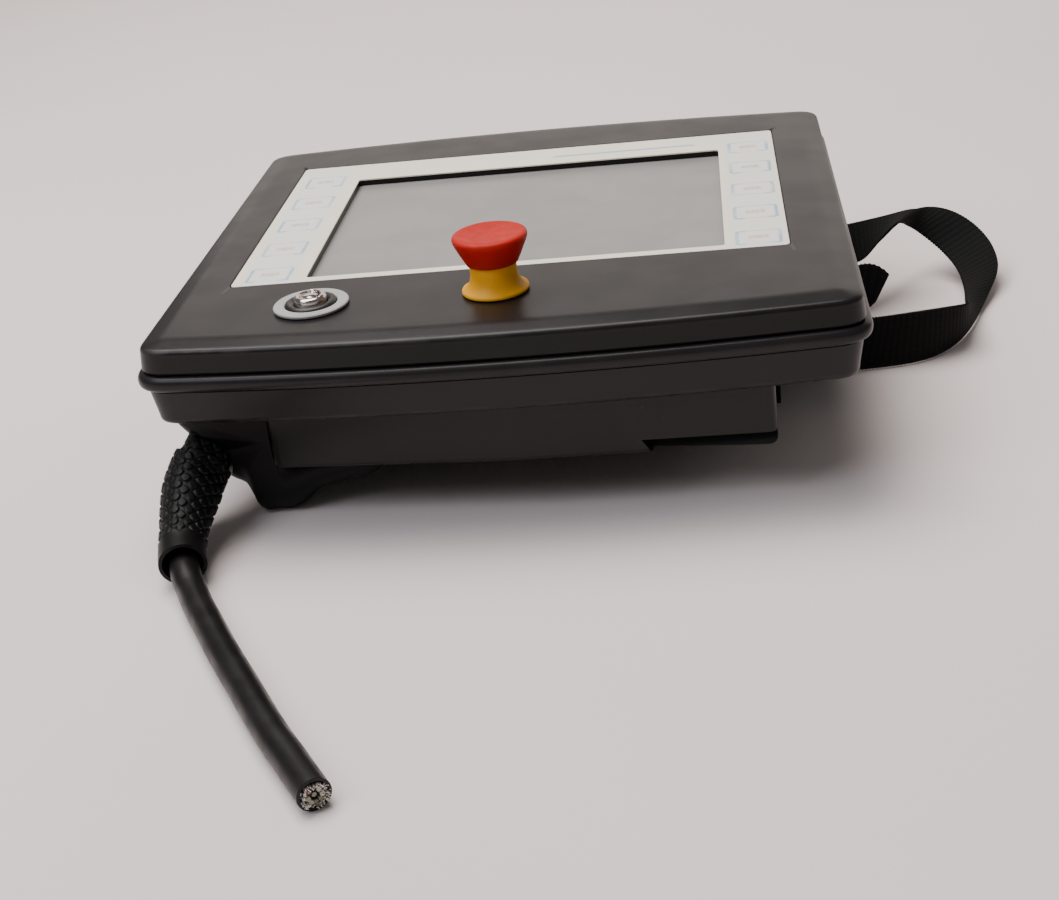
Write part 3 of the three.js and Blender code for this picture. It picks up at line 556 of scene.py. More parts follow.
def cable_jacket(colours):
    """Extruded polyurethane jacket: near black and satin, with faint lines drawn along it by the die."""
    material, tree, shader = new_material("polyurethane_jacket_extruded", 0.38, Specular_IOR_Level=0.28)
    uv = add(tree, "ShaderNodeUVMap", uv_map="surface").outputs[0]
    lines = noise(tree, 1000, 3, vector=uv, stretch=(1.6, 0.02, 1))
    dirt = ramp(tree, noise(tree, 14, 4), 0.45, 0.75, 0, 0.6)
    tree.links.new(mix(tree, dirt, tuple(colours.jacket), shaded(colours.jacket, 1.6)), shader.inputs["Base Color"])
    tree.links.new(ramp(tree, noise(tree, 9, 3), 0.3, 0.7, 0.33, 0.46), shader.inputs["Roughness"])
    bump(tree, shader, lines, 0.03, 0.4)
    return material


def woven_webbing(colours):
    """Polyamide webbing woven in plain ribs 1.6 mm apart: threads rise and sink along and across the band, and the
    colour is painted lighter on their crowns and darker between them as shade.
    """
    material, tree, shader = new_material("polyamide_webbing_woven", 0.9, Specular_IOR_Level=0.15)
    uv = add(tree, "ShaderNodeUVMap", uv_map="surface").outputs[0]
    rib = {"Vector": uv, "Scale": 1 / RIB / 2 * math.pi / 10, "Distortion": 0.6, "Detail": 1.0}
    along = add(tree, "ShaderNodeTexWave", rib, bands_direction="Y").outputs["Fac"]
    across = add(tree, "ShaderNodeTexWave", rib, bands_direction="X").outputs["Fac"]
    weave_relief_and_shade = math_node(tree, "MULTIPLY", along, ramp(tree, across, 0, 1, 0.55, 1))
    # Painted shade and highlight: the colour follows the weave's height, darker between the threads and lighter on
    # their crowns.
    tint = mix(tree, weave_relief_and_shade, shaded(colours.webbing, 0.8), shaded(colours.webbing, 1.35))
    tree.links.new(tint, shader.inputs["Base Color"])
    bump(tree, shader, weave_relief_and_shade, 0.22, 0.8)
    return material


def floor_sheet(colours):
    """A plain pale sheet, matt."""
    material, tree, shader = new_material("paper_sheet_matt", 0.9)
    soft = ramp(tree, noise(tree, 300, 2), 0.3, 0.7)
    tree.links.new(mix(tree, soft, shaded(colours.floor, 0.97), tuple(colours.floor)), shader.inputs["Base Color"])
    return material


# ---------------------------------------------------------------- cord and strap routes, in millimetres

SLEEVE_ROUTE = [
    (-122.9, -103.7, 31.5), (-125.6, -110.1, 27.2), (-128, -117.2, 22.8), (-128.7, -127.7, 18.6),
    (-127.9, -141.7, 14.4), (-125.9, -154.8, 11.2), (-123.6, -163.5, 10.1),
]
CABLE_ROUTE = [
    (-125.7, -110.3, 27), (-127.8, -116.3, 23.2), (-128.7, -127.7, 18.3), (-127.9, -141.7, 13.6),
    (-125.5, -154.8, 10), (-121.5, -168.2, 8.2), (-116.8, -177.8, 6.3), (-111.6, -188.5, 5.9),
    (-105.9, -199, 5.9), (-100.4, -209.4, 5.9), (-94.8, -219.7, 5.9), (-89, -230, 5.9),
    (-82.9, -240.5, 5.9), (-76.7, -251.6, 5.9), (-70.5, -262.5, 5.9), (-64.2, -273.1, 5.9),
    (-58, -282.7, 5.9), (-51.9, -292.5, 5.9), (-45.8, -302.1, 5.9),
]
CABLE_RADIUS = 5.8
SLEEVE_OUTER, SLEEVE_INNER = 9.5, 7.8  # at the thin end

# Stations along the strap: a point on its outer edge, then the point across from it on its inner edge.
STRAP_EDGES = [
    (105.3, -32.5, 1, 105.3, -32.5, 26), (105.5, -21, 1, 105.5, -21, 26),
    (111, -10.7, 0.6, 112, -10.7, 25.6), (125, -6.4, 0.4, 128, -5.5, 25),
    (145.4, -5.6, 0.3, 151.1, -1.6, 24), (169.1, -1.8, 0.3, 171.3, 0.1, 24.8),
    (184.2, 9, 0.3, 184.3, 3.3, 24.4), (196.1, 26.6, 1, 193.9, 12.2, 21.5),
    (208.8, 56.2, 3, 197.4, 36.1, 13.4), (219.5, 82.3, 9, 200.4, 65.6, 9.2),
    (219.9, 99.8, 15, 199.8, 84.9, 10.7), (214.2, 113.8, 21, 194.2, 99.4, 15.2),
    (204.4, 120.1, 27, 185.5, 103.6, 22.7), (192.5, 119.8, 31, 178.7, 98.4, 29.3),
    (180.3, 105.3, 35, 171.3, 79.4, 37.5), (167.2, 93.8, 37, 162.1, 69, 33.4),
    (150.2, 81.7, 39, 151.2, 59.2, 27.3), (131.2, 77, 38, 132.2, 53.5, 30),
    (115.2, 73.9, 36, 115.1, 49.4, 31), (107, 72.8, 29, 107, 48.3, 27),
    (105.3, 72.8, 21, 105.3, 48.3, 20), (105.3, 72.8, 8, 105.3, 48.3, 8),
]
TAIL_EDGES = [
    (105.4, 9.7, 8, 105.4, 11.6, 33), (113, 10.8, 9, 114, 16.8, 34), (129.1, 15.9, 11, 131.1, 23.9, 35),
    (145.2, 24.1, 13, 148.2, 34.2, 35.5), (150.4, 28, 14.2, 156.5, 38.5, 34), (154.2, 31.2, 15, 164.5, 44, 28.4),
]
STRAP_THICKNESS = 1.6
RIB = 1.6  # from one woven rib of the webbing to the next


# ---------------------------------------------------------------- operators


class PENDANT_OT_stage(bpy.types.Operator):
    """Makes the floor, the soft lights and the camera."""

    bl_idname = "pendant.stage"
    bl_label = "Stage, lights and camera"

    # The camera's own right, down and forward directions in the object's frame.
    RIGHT = (0.990798, 0.078725, -0.110099)
    DOWN = (-0.063459, -0.448293, -0.891631)
    FORWARD = (-0.119551, 0.890413, -0.439172)
    CAMERA_PLACE = (0.08685, -0.70719, 0.31729)
    LENS = 57.56

    def camera(self):
        """The camera stands in front of the object's right half and looks down on it."""
        data = bpy.data.cameras.new("camera")
        data.sensor_width, data.lens, data.clip_start = 36, self.LENS, 0.01
        camera = bpy.data.objects.new("camera", data)
        turn = np.eye(4)
        turn[:3, 0], turn[:3, 1], turn[:3, 2] = self.RIGHT, -np.array(self.DOWN), -np.array(self.FORWARD)
        turn[:3, 3] = self.CAMERA_PLACE
        camera.matrix_world = turn.T.tolist()
        bpy.context.scene.collection.objects.link(camera)
        bpy.context.scene.camera = camera

    def light(self, name, where, size, power, tint="FFFFFF"):
        """A rectangular area light that faces the middle of the housing."""
        data = bpy.data.lights.new(name, "AREA")
        data.shape, data.size, data.size_y = "RECTANGLE", *size
        data.energy, data.color = power, linear(tint)[:3]
        lamp = bpy.data.objects.new(name, data)
        lamp.location = where
        aim = np.array([0, 0, 0.05]) - np.array(where)
        lamp.rotation_euler = (math.acos(-aim[2] / np.linalg.norm(aim)), 0, math.atan2(-aim[0], aim[1]))
        bpy.context.scene.collection.objects.link(lamp)

    def execute(self, context):
        self.camera()
        half = 6.0
        points = np.array([[-half, -half, 0], [half, -half, 0], [half, half, 0], [-half, half, 0]]) / MM
        floor = make_object("floor", points, [(0, 1, 2, 3)])
        floor.data.materials.append(floor_sheet(context.scene.pendant_colours))
        self.light("back_wall", (0.3, 1.35, 0.52), (2.4, 0.8), 6.5, "FFF3EA")
        self.light("ceiling", (-0.35, 0.25, 1.7), (1.3, 1.3), 44, "FFFAF6")
        self.light("room", (-0.9, -0.8, 1.3), (0.9, 0.9), 12, "F4F5FF")
        world = bpy.data.worlds.new("room")
        world.use_nodes = True
        sky = world.node_tree.nodes["Background"]
        sky.inputs["Color"].default_value = linear("F4F2F0")
        sky.inputs["Strength"].default_value = 0.16
        bpy.context.scene.world = world
        return {"FINISHED"}


class PENDANT_OT_cable(bpy.types.Operator):
    """Makes the cut cable, its bared strands and the bend sleeve that it comes out of."""

    bl_idname = "pendant.cable"
    bl_label = "Cable and bend sleeve"

    def sleeve(self, height_mm):
        """The radius is a plain tube's plus diamonds: steep steps of (cos along - cos around) / 2."""
        rows, sides = 230, 176
        path, run = smooth_path(SLEEVE_ROUTE, rows)
        angle = np.linspace(0, 2 * math.pi, sides, endpoint=False)[None, :]
        wave = np.abs(np.cos(2 * math.pi * run[:, None] / 6.5) - np.cos(11 * angle)) / 2
        step = np.clip((wave - 0.12) / 0.3, 0, 1)
        pattern = step**2 * (3 - 2 * step)
        collar = np.clip((run[-1] - 10 - run) / 3, 0, 1)[:, None]
        taper = np.interp(run, [0, 8.4, 9, 24, 46], [10.3, 10.3, 12.2, 12.1, SLEEVE_OUTER])[:, None]
        outer = taper - height_mm * (1 - pattern) * collar - 0.25 * (1 - collar)
        outside = tube_rings(path, outer, sides)
        inside = tube_rings(path, SLEEVE_INNER, sides)[::-1]
        return closed_band("bend_sleeve_moulding", np.concatenate([outside, inside]))

    def jacket(self):
        """A tube whose end is cut square and dished, so that the jacket's wall shows round the strands."""
        path, run = smooth_path(CABLE_ROUTE, 240)
        sides = 48
        body = tube_rings(path, CABLE_RADIUS, sides)
        along = path[-1] - path[-2]
        along /= np.linalg.norm(along)
        end = body[-1] - path[-1]
        rim = [path[-1] + end * 0.975 + along * 0.12, path[-1] + end * 0.82 + along * 0.12,
               path[-1] + end * 0.78 - along * 0.9]
        rings = np.concatenate([body, rim])
        piece = closed_stack("cable_jacket_tube", rings)
        reach = np.concatenate([run, run[-1] + np.array([0.2, 0.9, 1.9])])
        around = np.linspace(0, 2 * math.pi * CABLE_RADIUS, sides + 1)
        add_grid_uv(piece, len(rings), sides, reach, around)
        return piece, path

    def strands(self, path):
        """Cores and screen wires: thin tapered rods in rings round the cable's line, bent apart by a fixed seed."""
        random = np.random.default_rng(11)
        end, along = path[-1], path[-1] - path[-2]
        along = along / np.linalg.norm(along)
        side = np.cross(along, [0, 0, 1])
        up = np.cross(side, along)
        cores, wires = 9, 150
        count = cores + wires
        ring = np.concatenate([[0], np.full(8, 2.35), random.uniform(3.1, 4.2, wires)])
        turn = np.concatenate([[0], np.arange(8) * math.pi / 4, random.uniform(0, 2 * math.pi, wires)])
        radius = np.concatenate([np.full(cores, 0.86), np.full(wires, 0.16)])
        reach = np.concatenate([random.uniform(0.9, 2.6, cores), random.uniform(0.8, 3.1, wires)])
        lean = np.concatenate([np.zeros((cores, 2)), random.uniform(-1.1, 1.1, (wires, 2))])
        t = np.linspace(0, 1, 6)[None, :, None]
        start = ring[:, None] * (np.cos(turn)[:, None] * side + np.sin(turn)[:, None] * up)
        line = start[:, None] + (t * reach[:, None, None] - 1.0) * along
        line = line + t**2 * (lean[:, :1, None] * side + lean[:, 1:, None] * up)
        angle = np.linspace(0, 2 * math.pi, 8, endpoint=False)
        circle = np.cos(angle)[:, None] * up + np.sin(angle)[:, None] * side
        points = end + line[:, :, None] + radius[:, None, None, None] * circle
        quads = grid_faces(6, 8)
        caps = [list(range(7, -1, -1)), list(range(40, 48))]
        faces = (quads[None] + 48 * np.arange(count)[:, None, None]).reshape(-1, 4).tolist()
        faces += [[corner + 48 * k for corner in cap] for k in range(count) for cap in caps]
        owner = np.repeat(np.concatenate([np.arange(1, cores + 1), np.zeros(wires)]), 48) / (cores + 1)
        return make_object("cable_strand_bundle", points.reshape(-1, 3), faces, attributes={"core": owner})

    def strand_material(self):
        """Tinned screen wires and insulated cores in dull red, olive and grey, told apart by an attribute."""
        material, tree, shader = new_material("tinned_copper_and_pvc_cores", 0.35)
        core = add(tree, "ShaderNodeAttribute", attribute_name="core").outputs["Fac"]
        bands = add(tree, "ShaderNodeValToRGB", {"Fac": core})
        steps = bands.color_ramp
        steps.interpolation = "CONSTANT"
        steps.elements[0].color = linear("C9C6BE")
        steps.elements[1].position, steps.elements[1].color = 0.05, linear("8A8F7A")
        for position, code in ((0.25, "7A4038"), (0.45, "B9B4A4"), (0.65, "6E7358"), (0.85, "A39B8B")):
            steps.elements.new(position).color = linear(code)
        tree.links.new(bands.outputs[0], shader.inputs["Base Color"])
        tree.links.new(ramp(tree, core, 0, 0.04, 0.9, 0), shader.inputs["Metallic"])
        return material

    def execute(self, context):
        colours, sizes = context.scene.pendant_colours, context.scene.pendant_sizes
        rubber = satin_rubber("rubber_moulded_satin", shaded(colours.grip, 1.3), 0.45)
        sleeve = place(self.sleeve(sizes.bump / MM), "housing", "grip_rubber", rubber, "bend_sleeve")
        jacket, path = self.jacket()
        place(jacket, "housing", "cable_jacket", cable_jacket(colours), "cable")
        strands = self.strands(path)
        place(strands, "housing", "screen_braid", self.strand_material(), "cable_cores")
        return {"FINISHED"}


class PENDANT_OT_front_shell(bpy.types.Operator):
    """Makes the front shell: a frame whose wall turns over a crease and a soft roll into the front face."""

    bl_idname = "pendant.front_shell"
    bl_label = "Front shell"

    def execute(self, context):
        sizes = context.scene.pendant_sizes
        bend, radius = sizes.slope / MM, sizes.crease / MM
        wall = [(inset, z) for inset, z in zip(np.linspace(0.3, 1.1, 7), np.linspace(RIM_UP + 1.1, 81.4, 7))]
        fall = math.atan2(FACE_Z - 82.8, bend - 2.2)
        turn = np.linspace(math.radians(6), math.pi / 2 - fall, 8)
        crease = [(1.1 + radius * (1 - math.cos(a)), 81.4 + radius * math.sin(a)) for a in turn]
        reach = FACE_Z - crease[-1][1]
        meet = (crease[-1][0] + reach / math.tan(fall), FACE_Z)
        start = (meet[0] - 2.2, FACE_Z - 2.2 * math.tan(fall))
        steps = np.linspace(0, 1, 5)[1:]
        slope = [(crease[-1][0] + (start[0] - crease[-1][0]) * t, crease[-1][1] + (start[1] - crease[-1][1]) * t)
                 for t in steps]
        soft = [tuple(point) for point in bezier(start, meet, (meet[0] + 2.2, FACE_Z), 8)]
        profile = [(1.6, RIM_UP), (0.8, RIM_UP + 0.25), *wall, *crease, *slope, *soft]
        rings = [housing_line(inset, z) for inset, z in profile]
        edge = frame_line(RECESS["width"] + 0.8, RECESS["depth"] + 0.8, RECESS["y"], 0, RECESS["corner"])
        t = np.linspace(0, 1, 7)[1:, None, None]
        rings += list(rings[-1] * (1 - t) + at_height(edge, FACE_Z) * t)
        recess = frame_line(RECESS["width"], RECESS["depth"], RECESS["y"], 0, RECESS["corner"])
        window = frame_line(WINDOW["width"], WINDOW["depth"], WINDOW["y"], 0, WINDOW["corner"]) + [WINDOW_X, 0]
        rings += [at_height(recess, FACE_Z - 0.35), at_height(recess, RECESS_Z)]
        rings += [at_height(window, RECESS_Z), at_height(window, CAVITY_TOP)]
        rings += [housing_line(4, CAVITY_TOP), housing_line(3, RIM_UP)]
        # Crease rows are lightened towards the scuff colour: rubbed wear plus a painted highlight along the front
        # crease.
        worn = np.zeros(len(rings))
        first = 2 + len(wall)
        worn[first + 1:first + len(crease) - 1] = 1.0
        wear_and_highlight = np.repeat(worn, len(rings[0])) * self.front_only(np.concatenate(rings))
        shell = closed_band("front_shell_moulding", rings, attributes={"wear_and_highlight": wear_and_highlight})
        wells = [box_tool((x - WELL[0], KEY_Y - WELL[1], WELL_Z), (x + WELL[0], KEY_Y + WELL[1], 86))
                 for x in KEY_X.values()]
        holes = [rod_tool(*centre, 80, 90, PANEL_HOLE) for centre in (STOP_XY, LOCK_XY)]
        carve(shell, [*holes, *wells])
        place(shell, "housing", "housing", bpy.data.materials["abs_charcoal_spark_textured"], "front_shell")
        return {"FINISHED"}

    @staticmethod
    def front_only(points):
        """Rubbed wear and the painted crease highlight are strongest at the front edge's left end, where the light
        falls, and faint elsewhere.
        """
        return np.where(points[:, 1] < -110, np.clip(0.75 - (points[:, 0] + 139) / 260, 0.1, 1), 0.2)


class PENDANT_OT_rear_shell(bpy.types.Operator):
    """Makes the rear shell, a drafted tray with openings under the cover, and the bead between the shells."""

    bl_idname = "pendant.rear_shell"
    bl_label = "Rear shell and seal"

    def tray(self):
        """Rings from the underside's middle, round its edge, up the drafted wall and down the inside."""
        edge = [(3.2 + 2.8 * (1 - math.cos(a)), TRAY_Z + 2.8 * (1 - math.sin(a)))
                for a in np.radians([90, 70, 50, 30, 12, 0])]
        wall = list(zip(np.linspace(3.0, 1.35, 6), np.linspace(TRAY_Z + 4.5, RIM_DOWN - 0.6, 6)))
        profile = [(60, TRAY_Z), (30, TRAY_Z), (9, TRAY_Z), *edge, *wall, (1.9, RIM_DOWN), (4.2, RIM_DOWN),
                   (6.2, TRAY_Z + 3), (30, TRAY_Z + 3), (60, TRAY_Z + 3)]
        rings = [housing_line(inset, z) for inset, z in profile]
        worn = np.zeros(len(rings))
        worn[5:8] = 0.3
        wear_and_highlight = np.repeat(worn, len(rings[0]))
        tray = closed_stack("rear_shell_moulding", rings, attributes={"wear_and_highlight": wear_and_highlight})
        screws = [rod_tool(x, y, 40, TRAY_Z + 4, 3.6) for x in (-123, 123) for y in (-108, 108)]
        openings = [box_tool((-52, -108, 40), (98, 82, 60)), box_tool((-113.5, -50, 40), (-101.5, 50, 60))]
        carve(tray, [*openings, *screws])
        return tray

    def seal(self):
        """A half-round bead outside the wall, with a flat tongue that reaches in between the shells."""
        low, high, middle = 66.6, 73.0, 69.8
        turn = np.radians(np.linspace(-90, 90, 19))[1:-1]
        bead = [(0.8 - 2.85 * math.cos(a) ** 0.8, middle + 3.15 * math.sin(a)) for a in turn]
        profile = [(1, low), *bead, (1, high), (3, high), (3, low)]
        return closed_band("parting_seal_bead", [housing_line(inset, z) for inset, z in profile], sharp=50)

    def execute(self, context):
        colours = context.scene.pendant_colours
        place(self.tray(), "housing", "housing", bpy.data.materials["abs_charcoal_spark_textured"], "rear_shell")
        rubber = satin_rubber("rubber_seal_extruded", tuple(colours.seal), 0.3)
        place(self.seal(), "housing", "seal_rubber", rubber, "parting_seal")
        return {"FINISHED"}


class PENDANT_OT_cover(bpy.types.Operator):
    """Makes the stepped electronics cover with rounded edges."""

    bl_idname = "pendant.cover"
    bl_label = "Electronics cover"

    def block(self, low, high, corner, edge):
        """An upright block, its lower edge a quarter round and its front falling back by up to 6 mm to the left."""
        width, depth = high[0] - low[0], high[1] - low[1]
        middle = [(high[0] + low[0]) / 2, (high[1] + low[1]) / 2]
        turn = np.radians([0, 18, 36, 54, 72, 90])
        profile = [(edge * (1 - math.sin(a)), low[2] + edge * (1 - math.cos(a))) for a in turn] + [(0, high[2])]
        rings = []
        for inset, z in profile:
            size = {"width": width - 2 * inset, "depth": depth - 2 * inset, "corner": max(corner - inset, 0.6)}
            line = frame_line(counts=(24, 2, 7), **size) + middle
            line[:, 1] += 6 * np.clip(-line[:, 0] / 87, 0, 1.1) * np.clip((-80 - line[:, 1]) / 45, 0, 1)
            rings.append(at_height(line, z))
        return closed_stack("cover_block", rings, sharp=40)

    def execute(self, context):
        edge, top, floor = context.scene.pendant_sizes.cover_edge / MM, TRAY_Z - GAP, COVER_FLOOR
        cover = self.block((COVER_LEFT, COVER_FRONT, floor), (COVER_RIGHT, COVER_WING, top), 4, edge)
        cover.name = "electronics_cover_moulding"
        more = [
            self.block((COVER_DEEP_LEFT, COVER_FRONT + HAIR, floor + HAIR),
                       (COVER_RIGHT - HAIR, COVER_BACK, top - HAIR), 4, edge),
            self.block((COVER_DEEP_LEFT - HAIR, COVER_STEP, 0),
                       (COVER_RIGHT - 2 * HAIR, COVER_BACK + HAIR, top - 2 * HAIR), 5, edge),
            self.block((-57.9, 80, TRAY_Z - 4), (102.9, 104, top - 3 * HAIR), 4, 0.5),
        ]
        carve(cover, more, "UNION")
        low = np.array([[55, -130], [110, -130], [110, -125.6], [57, -119.4]])
        high = np.array([[52, -130], [110, -130], [110, -120.2], [52, -114]])
        notch = closed_stack("notch", [at_height(low, floor - 1), at_height(high, floor + 6)])
        hollow = [box_tool((-92, -113, floor + 3), (101, -75, 60)), box_tool((-55, -113, floor + 3), (101, 85, 60)),
                  box_tool((-55, -30, 3), (101, 85, 60))]
        heads = [rod_tool(x, -116, 20, TRAY_Z - 6, 3.4) for x in (-60, 40)]
        carve(cover, [notch, *hollow, *heads])
        cover.data.shade_smooth()
        cover.data.set_sharp_from_angle(angle=math.radians(35))
        place(cover, "housing", "housing", bpy.data.materials["abs_charcoal_spark_textured"], "electronics_cover")
        return {"FINISHED"}


class PENDANT_OT_grip(bpy.types.Operator):
    """Makes the grip: a smooth lobe swept from front to back, cut where the cover and the fingers go."""

    bl_idname = "pendant.grip"
    bl_label = "Grip and enabling button"

    GRIP_X = -99.5
    TOP = TRAY_Z - GAP
    SECTION = [
        (49.5, 22), (42.4, 14.4), (29.3, 11.1), (18.3, 8.1), (12.1, 3.1), (6.2, 0), (0, 0), (-6.8, 0), (-8.8, 5.4),
        (-11.3, 12.3), (-18.6, 17.8), (-25, 31), (-29.5, 38), (-33.5, 44.5), (-35, TOP),
    ]
    STATIONS = [
        (-114, 0.5, 0.95), (-113.3, 0.68, 0.98), (-110.5, 0.85, 0.99), (-106, 0.96, 1), (-101, 1, 1),
        (-92, 1, 1), (-84, 0.95, 1), (-72, 0.84, 1), (-58, 0.78, 1), (0, 0.75, 1), (54, 0.78, 1),
        (68, 0.84, 1), (80, 0.95, 1), (88, 1, 1), (94, 1, 1), (100, 0.93, 1), (105, 0.7, 0.95),
        (107, 0.4, 0.88),
    ]

    def body(self):
        """The section is a smooth line through its points; each station scales its depth and its width."""
        lower, _ = smooth_path([(x, z, 0.0) for x, z in self.SECTION], 90)
        top = np.stack([np.linspace(-35, 49.5, 12)[1:-1], np.full(10, self.TOP)], 1)
        section = np.concatenate([lower[:, :2], top, [[49.5, self.TOP]]])[::-1]
        stations, _ = smooth_path(self.STATIONS, 90)
        y, deep, wide = stations[:, :1], stations[:, 1:2], stations[:, 2:]
        x = self.GRIP_X + section[None, :, 0] * wide
        z = self.TOP - (self.TOP - section[None, :, 1]) * deep
        rings = np.stack([x, np.broadcast_to(y, x.shape), np.maximum(z, 0)], -1)
        return closed_stack("grip_moulding", rings, sharp=45)

    def execute(self, context):
        colours = context.scene.pendant_colours
        grip = self.body()
        cover = [
            ((COVER_LEFT, COVER_FRONT, COVER_FLOOR), (COVER_RIGHT, COVER_WING, 60)),
            ((COVER_DEEP_LEFT, COVER_FRONT, COVER_FLOOR), (COVER_RIGHT, COVER_BACK, 60)),
            ((COVER_DEEP_LEFT, COVER_STEP, -5), (COVER_RIGHT, COVER_BACK, 60)),
        ]
        blocks = [box_tool(np.array(low) - GAP, np.array(high) + GAP) for low, high in cover]
        blocks.append(box_tool((-80.5, -64, -5), (-30, 60, 60)))
        blocks.append(box_tool((-60, -119, 22), (-30, 120, 60)))
        blocks.append(box_tool((-106.5, -26, 16), (-85, 26, 60)))
        blocks.append(box_tool((-91, -22.3, 16.7), (-70, 22.3, 35.3)))
        face, axis = np.array([-125.4, -109.6, 27.5]), np.array([-0.33, -0.78, -0.53])
        line = face + np.linspace(-17, 12, 6)[:, None] * axis / np.linalg.norm(axis)
        blocks.append(closed_stack("sleeve_seat", tube_rings(line, 12.4, 48)))
        carve(grip, blocks)
        rubber = satin_rubber("rubber_moulded_matt", tuple(colours.grip), 0.5, 0.03)
        place(grip, "housing", "grip_rubber", rubber, "grip")
        button = softened("enable_button", 0.5)
        place(button, "enable_pad", "button_plastic", satin_rubber("rubber_button_soft", linear("2A2B2D"), 0.5),
              "enable_button")
        return {"FINISHED"}


class PENDANT_OT_keypad(bpy.types.Operator):
    """Makes the overlay's finish, the ten crowned key pads and the touch pane."""

    bl_idname = "pendant.keypad"
    bl_label = "Overlay, keys and touch pane"

    WIDTH, DEPTH = 18.4, 16.4

    def pad(self, name, x, y):
        """Rounded rectangles that step in and rise along a shallow crown."""
        levels = [(0, 84.2), (0, 84.72), (0.25, 84.86), (1.2, 84.9), (3, 84.94), (5.5, 84.97), (7.5, 84.98)]
        rings = []
        for inset, z in levels:
            size = {"width": self.WIDTH - 2 * inset, "depth": self.DEPTH - 2 * inset, "corner": max(2 - inset, 0.4)}
            rings.append(at_height(frame_line(counts=(8, 8, 5), **size) + [x, y], z))
        pad = closed_stack(name, rings)
        points = np.empty(len(pad.data.vertices) * 3, np.float32)
        pad.data.vertices.foreach_get("co", points)
        add_uv(pad, (points.reshape(-1, 3)[:, :2] / MM - [x, y]) / 10)
        return pad

    def execute(self, context):
        colours = context.scene.pendant_colours
        finish_nodes(overlay_film(colours), "membrane_overlay")
        finish_nodes(touch_film(colours), "touch_glass")
        film = key_film(colours)
        for side, x in KEY_X.items():
            for row in range(KEY_COUNT):
                node = f"key_{side}_{row + 1}"
                y = KEY_Y + ((KEY_COUNT - 1) / 2 - row) * KEY_PITCH
                pad = self.pad(node + "_pad_film", x, y)
                place(pad, node + "_pad", "key_film", film, node)
        return {"FINISHED"}


class PENDANT_OT_stop(bpy.types.Operator):
    """Makes the emergency stop's dished red cap and its yellow collar."""

    bl_idname = "pendant.stop"
    bl_label = "Emergency stop"

    def cap(self):
        """A hollow cone that widens upwards to a rounded rim round a shallow dish."""
        profile = [(0, 98), (6.2, 98), (6.2, 105.3), (9.6, 105.3), (9.6, 97.0), (9.75, 96.85), (10.1, 96.9)]
        profile += [tuple(p) for p in bezier((10.1, 96.9), (12.6, 101.6), (14.55, 106.2), 10)]
        profile += arc((13.3, 107.2), 1.4, -20, 80, 9)
        profile += [(12.6, 108.75), (11.6, 108.6), (10, 108.45), (8, 108.3), (5, 108.15), (2, 108.1), (0, 108.1)]
        return turned("stop_cap_moulding", STOP_XY, profile, sides=96, sharp=40)

    def collar(self):
        """A straight neck that sweeps out to a thin flat skirt."""
        foot = 85.3
        profile = [(6.8, foot), (12.9, foot), (13.2, foot + 0.35), (13.2, foot + 1.0), (13.0, foot + 1.35)]
        profile += [tuple(p) for p in bezier((13.0, foot + 1.35), (9.5, foot + 2.6), (9.2, foot + 7.5), 10)]
        profile += [(9.2, 100.2), (8.9, 100.5), (6.8, 100.5)]
        return turned_ring("stop_collar_moulding", STOP_XY, profile, sides=96, sharp=40)

    def execute(self, context):
        colours = context.scene.pendant_colours
        red = moulded_plastic("pbt_signal_red_moulded", tuple(colours.red), 0.5, 0.22)
        yellow = moulded_plastic("pbt_signal_yellow_moulded", tuple(colours.yellow), 0.5, 0.3)
        place(self.cap(), "stop_head", "signal_red", red, "stop_cap")
        place(self.collar(), "housing", "signal_yellow", yellow, "stop_collar")
        return {"FINISHED"}


class PENDANT_OT_key_switch(bpy.types.Operator):
    """Makes the key switch's legend ring, dark bezel and chromed lock cylinder."""

    bl_idname = "pendant.key_switch"
    bl_label = "Key switch"

    def ring(self):
        """A flat disc with a bevelled rim."""
        low, high = 85.3, 86.6
        profile = [(10.5, low), (14.8, low), (15, low + 0.25), (15, high - 0.35), (14.65, high), (10.9, high),
                   (10.5, high - 0.3)]
        return turned_ring("key_ring_disc", LOCK_XY, profile, sides=96, sharp=30)

    def bezel(self):
        """A low collar that slopes down towards the cylinder."""
        low = 85.3
        profile = [(6.8, low), (10.2, low), (10.2, 86.8), (9.9, 87.2), (9.2, 87.5), (8.2, 87.5), (7.4, 87.1),
                   (6.8, 86.6)]
        return turned_ring("key_bezel_collar", LOCK_XY, profile, sides=96, sharp=30)

    def rotor(self):
        """A cylinder with a domed rim, a ring-shaped keyway and a middle post."""
        profile = [(0, 70), (4, 70), (4, 84), (6.5, 84.2), (6.5, 88.6), (6.3, 89.2), (5.7, 89.7), (5.0, 89.85)]
        profile += [(4.5, 89.7), (4.3, 89.2), (4.25, 86.6), (2.95, 86.6), (2.9, 89.1), (2.7, 89.5), (2.0, 89.75)]
        profile += [(1.0, 89.85), (0, 89.85)]
        rotor = turned("key_rotor_cylinder", LOCK_XY, profile, sides=96, sharp=40)
        x, y = LOCK_XY
        notch = box_tool((x - 0.8, y + 2, 85.5), (x + 0.8, y + 5.4, 91))
        pips = [rod_tool(x + 5.2 * math.cos(a), y + 5.2 * math.sin(a), 88.9, 91, 0.42)
                for a in np.radians([215, 325])]
        carve(rotor, [notch, *pips])
        return rotor

    def execute(self, context):
        colours = context.scene.pendant_colours
        grey = moulded_plastic("aluminium_ring_anodised_grey", tuple(colours.ring), 0.4)
        black = moulded_plastic("polyamide_black_moulded", linear("1E1C1C"), 0.4)
        place(self.ring(), "housing", "grey_ring", grey, "key_ring")
        place(self.bezel(), "housing", "black_plastic", black, "key_bezel")
        chrome = metal("chrome_plated_polished", "E2D8D4", 0.12)
        place(self.rotor(), "lock_rotor", "lock_chrome", chrome, "key_rotor")
        return {"FINISHED"}


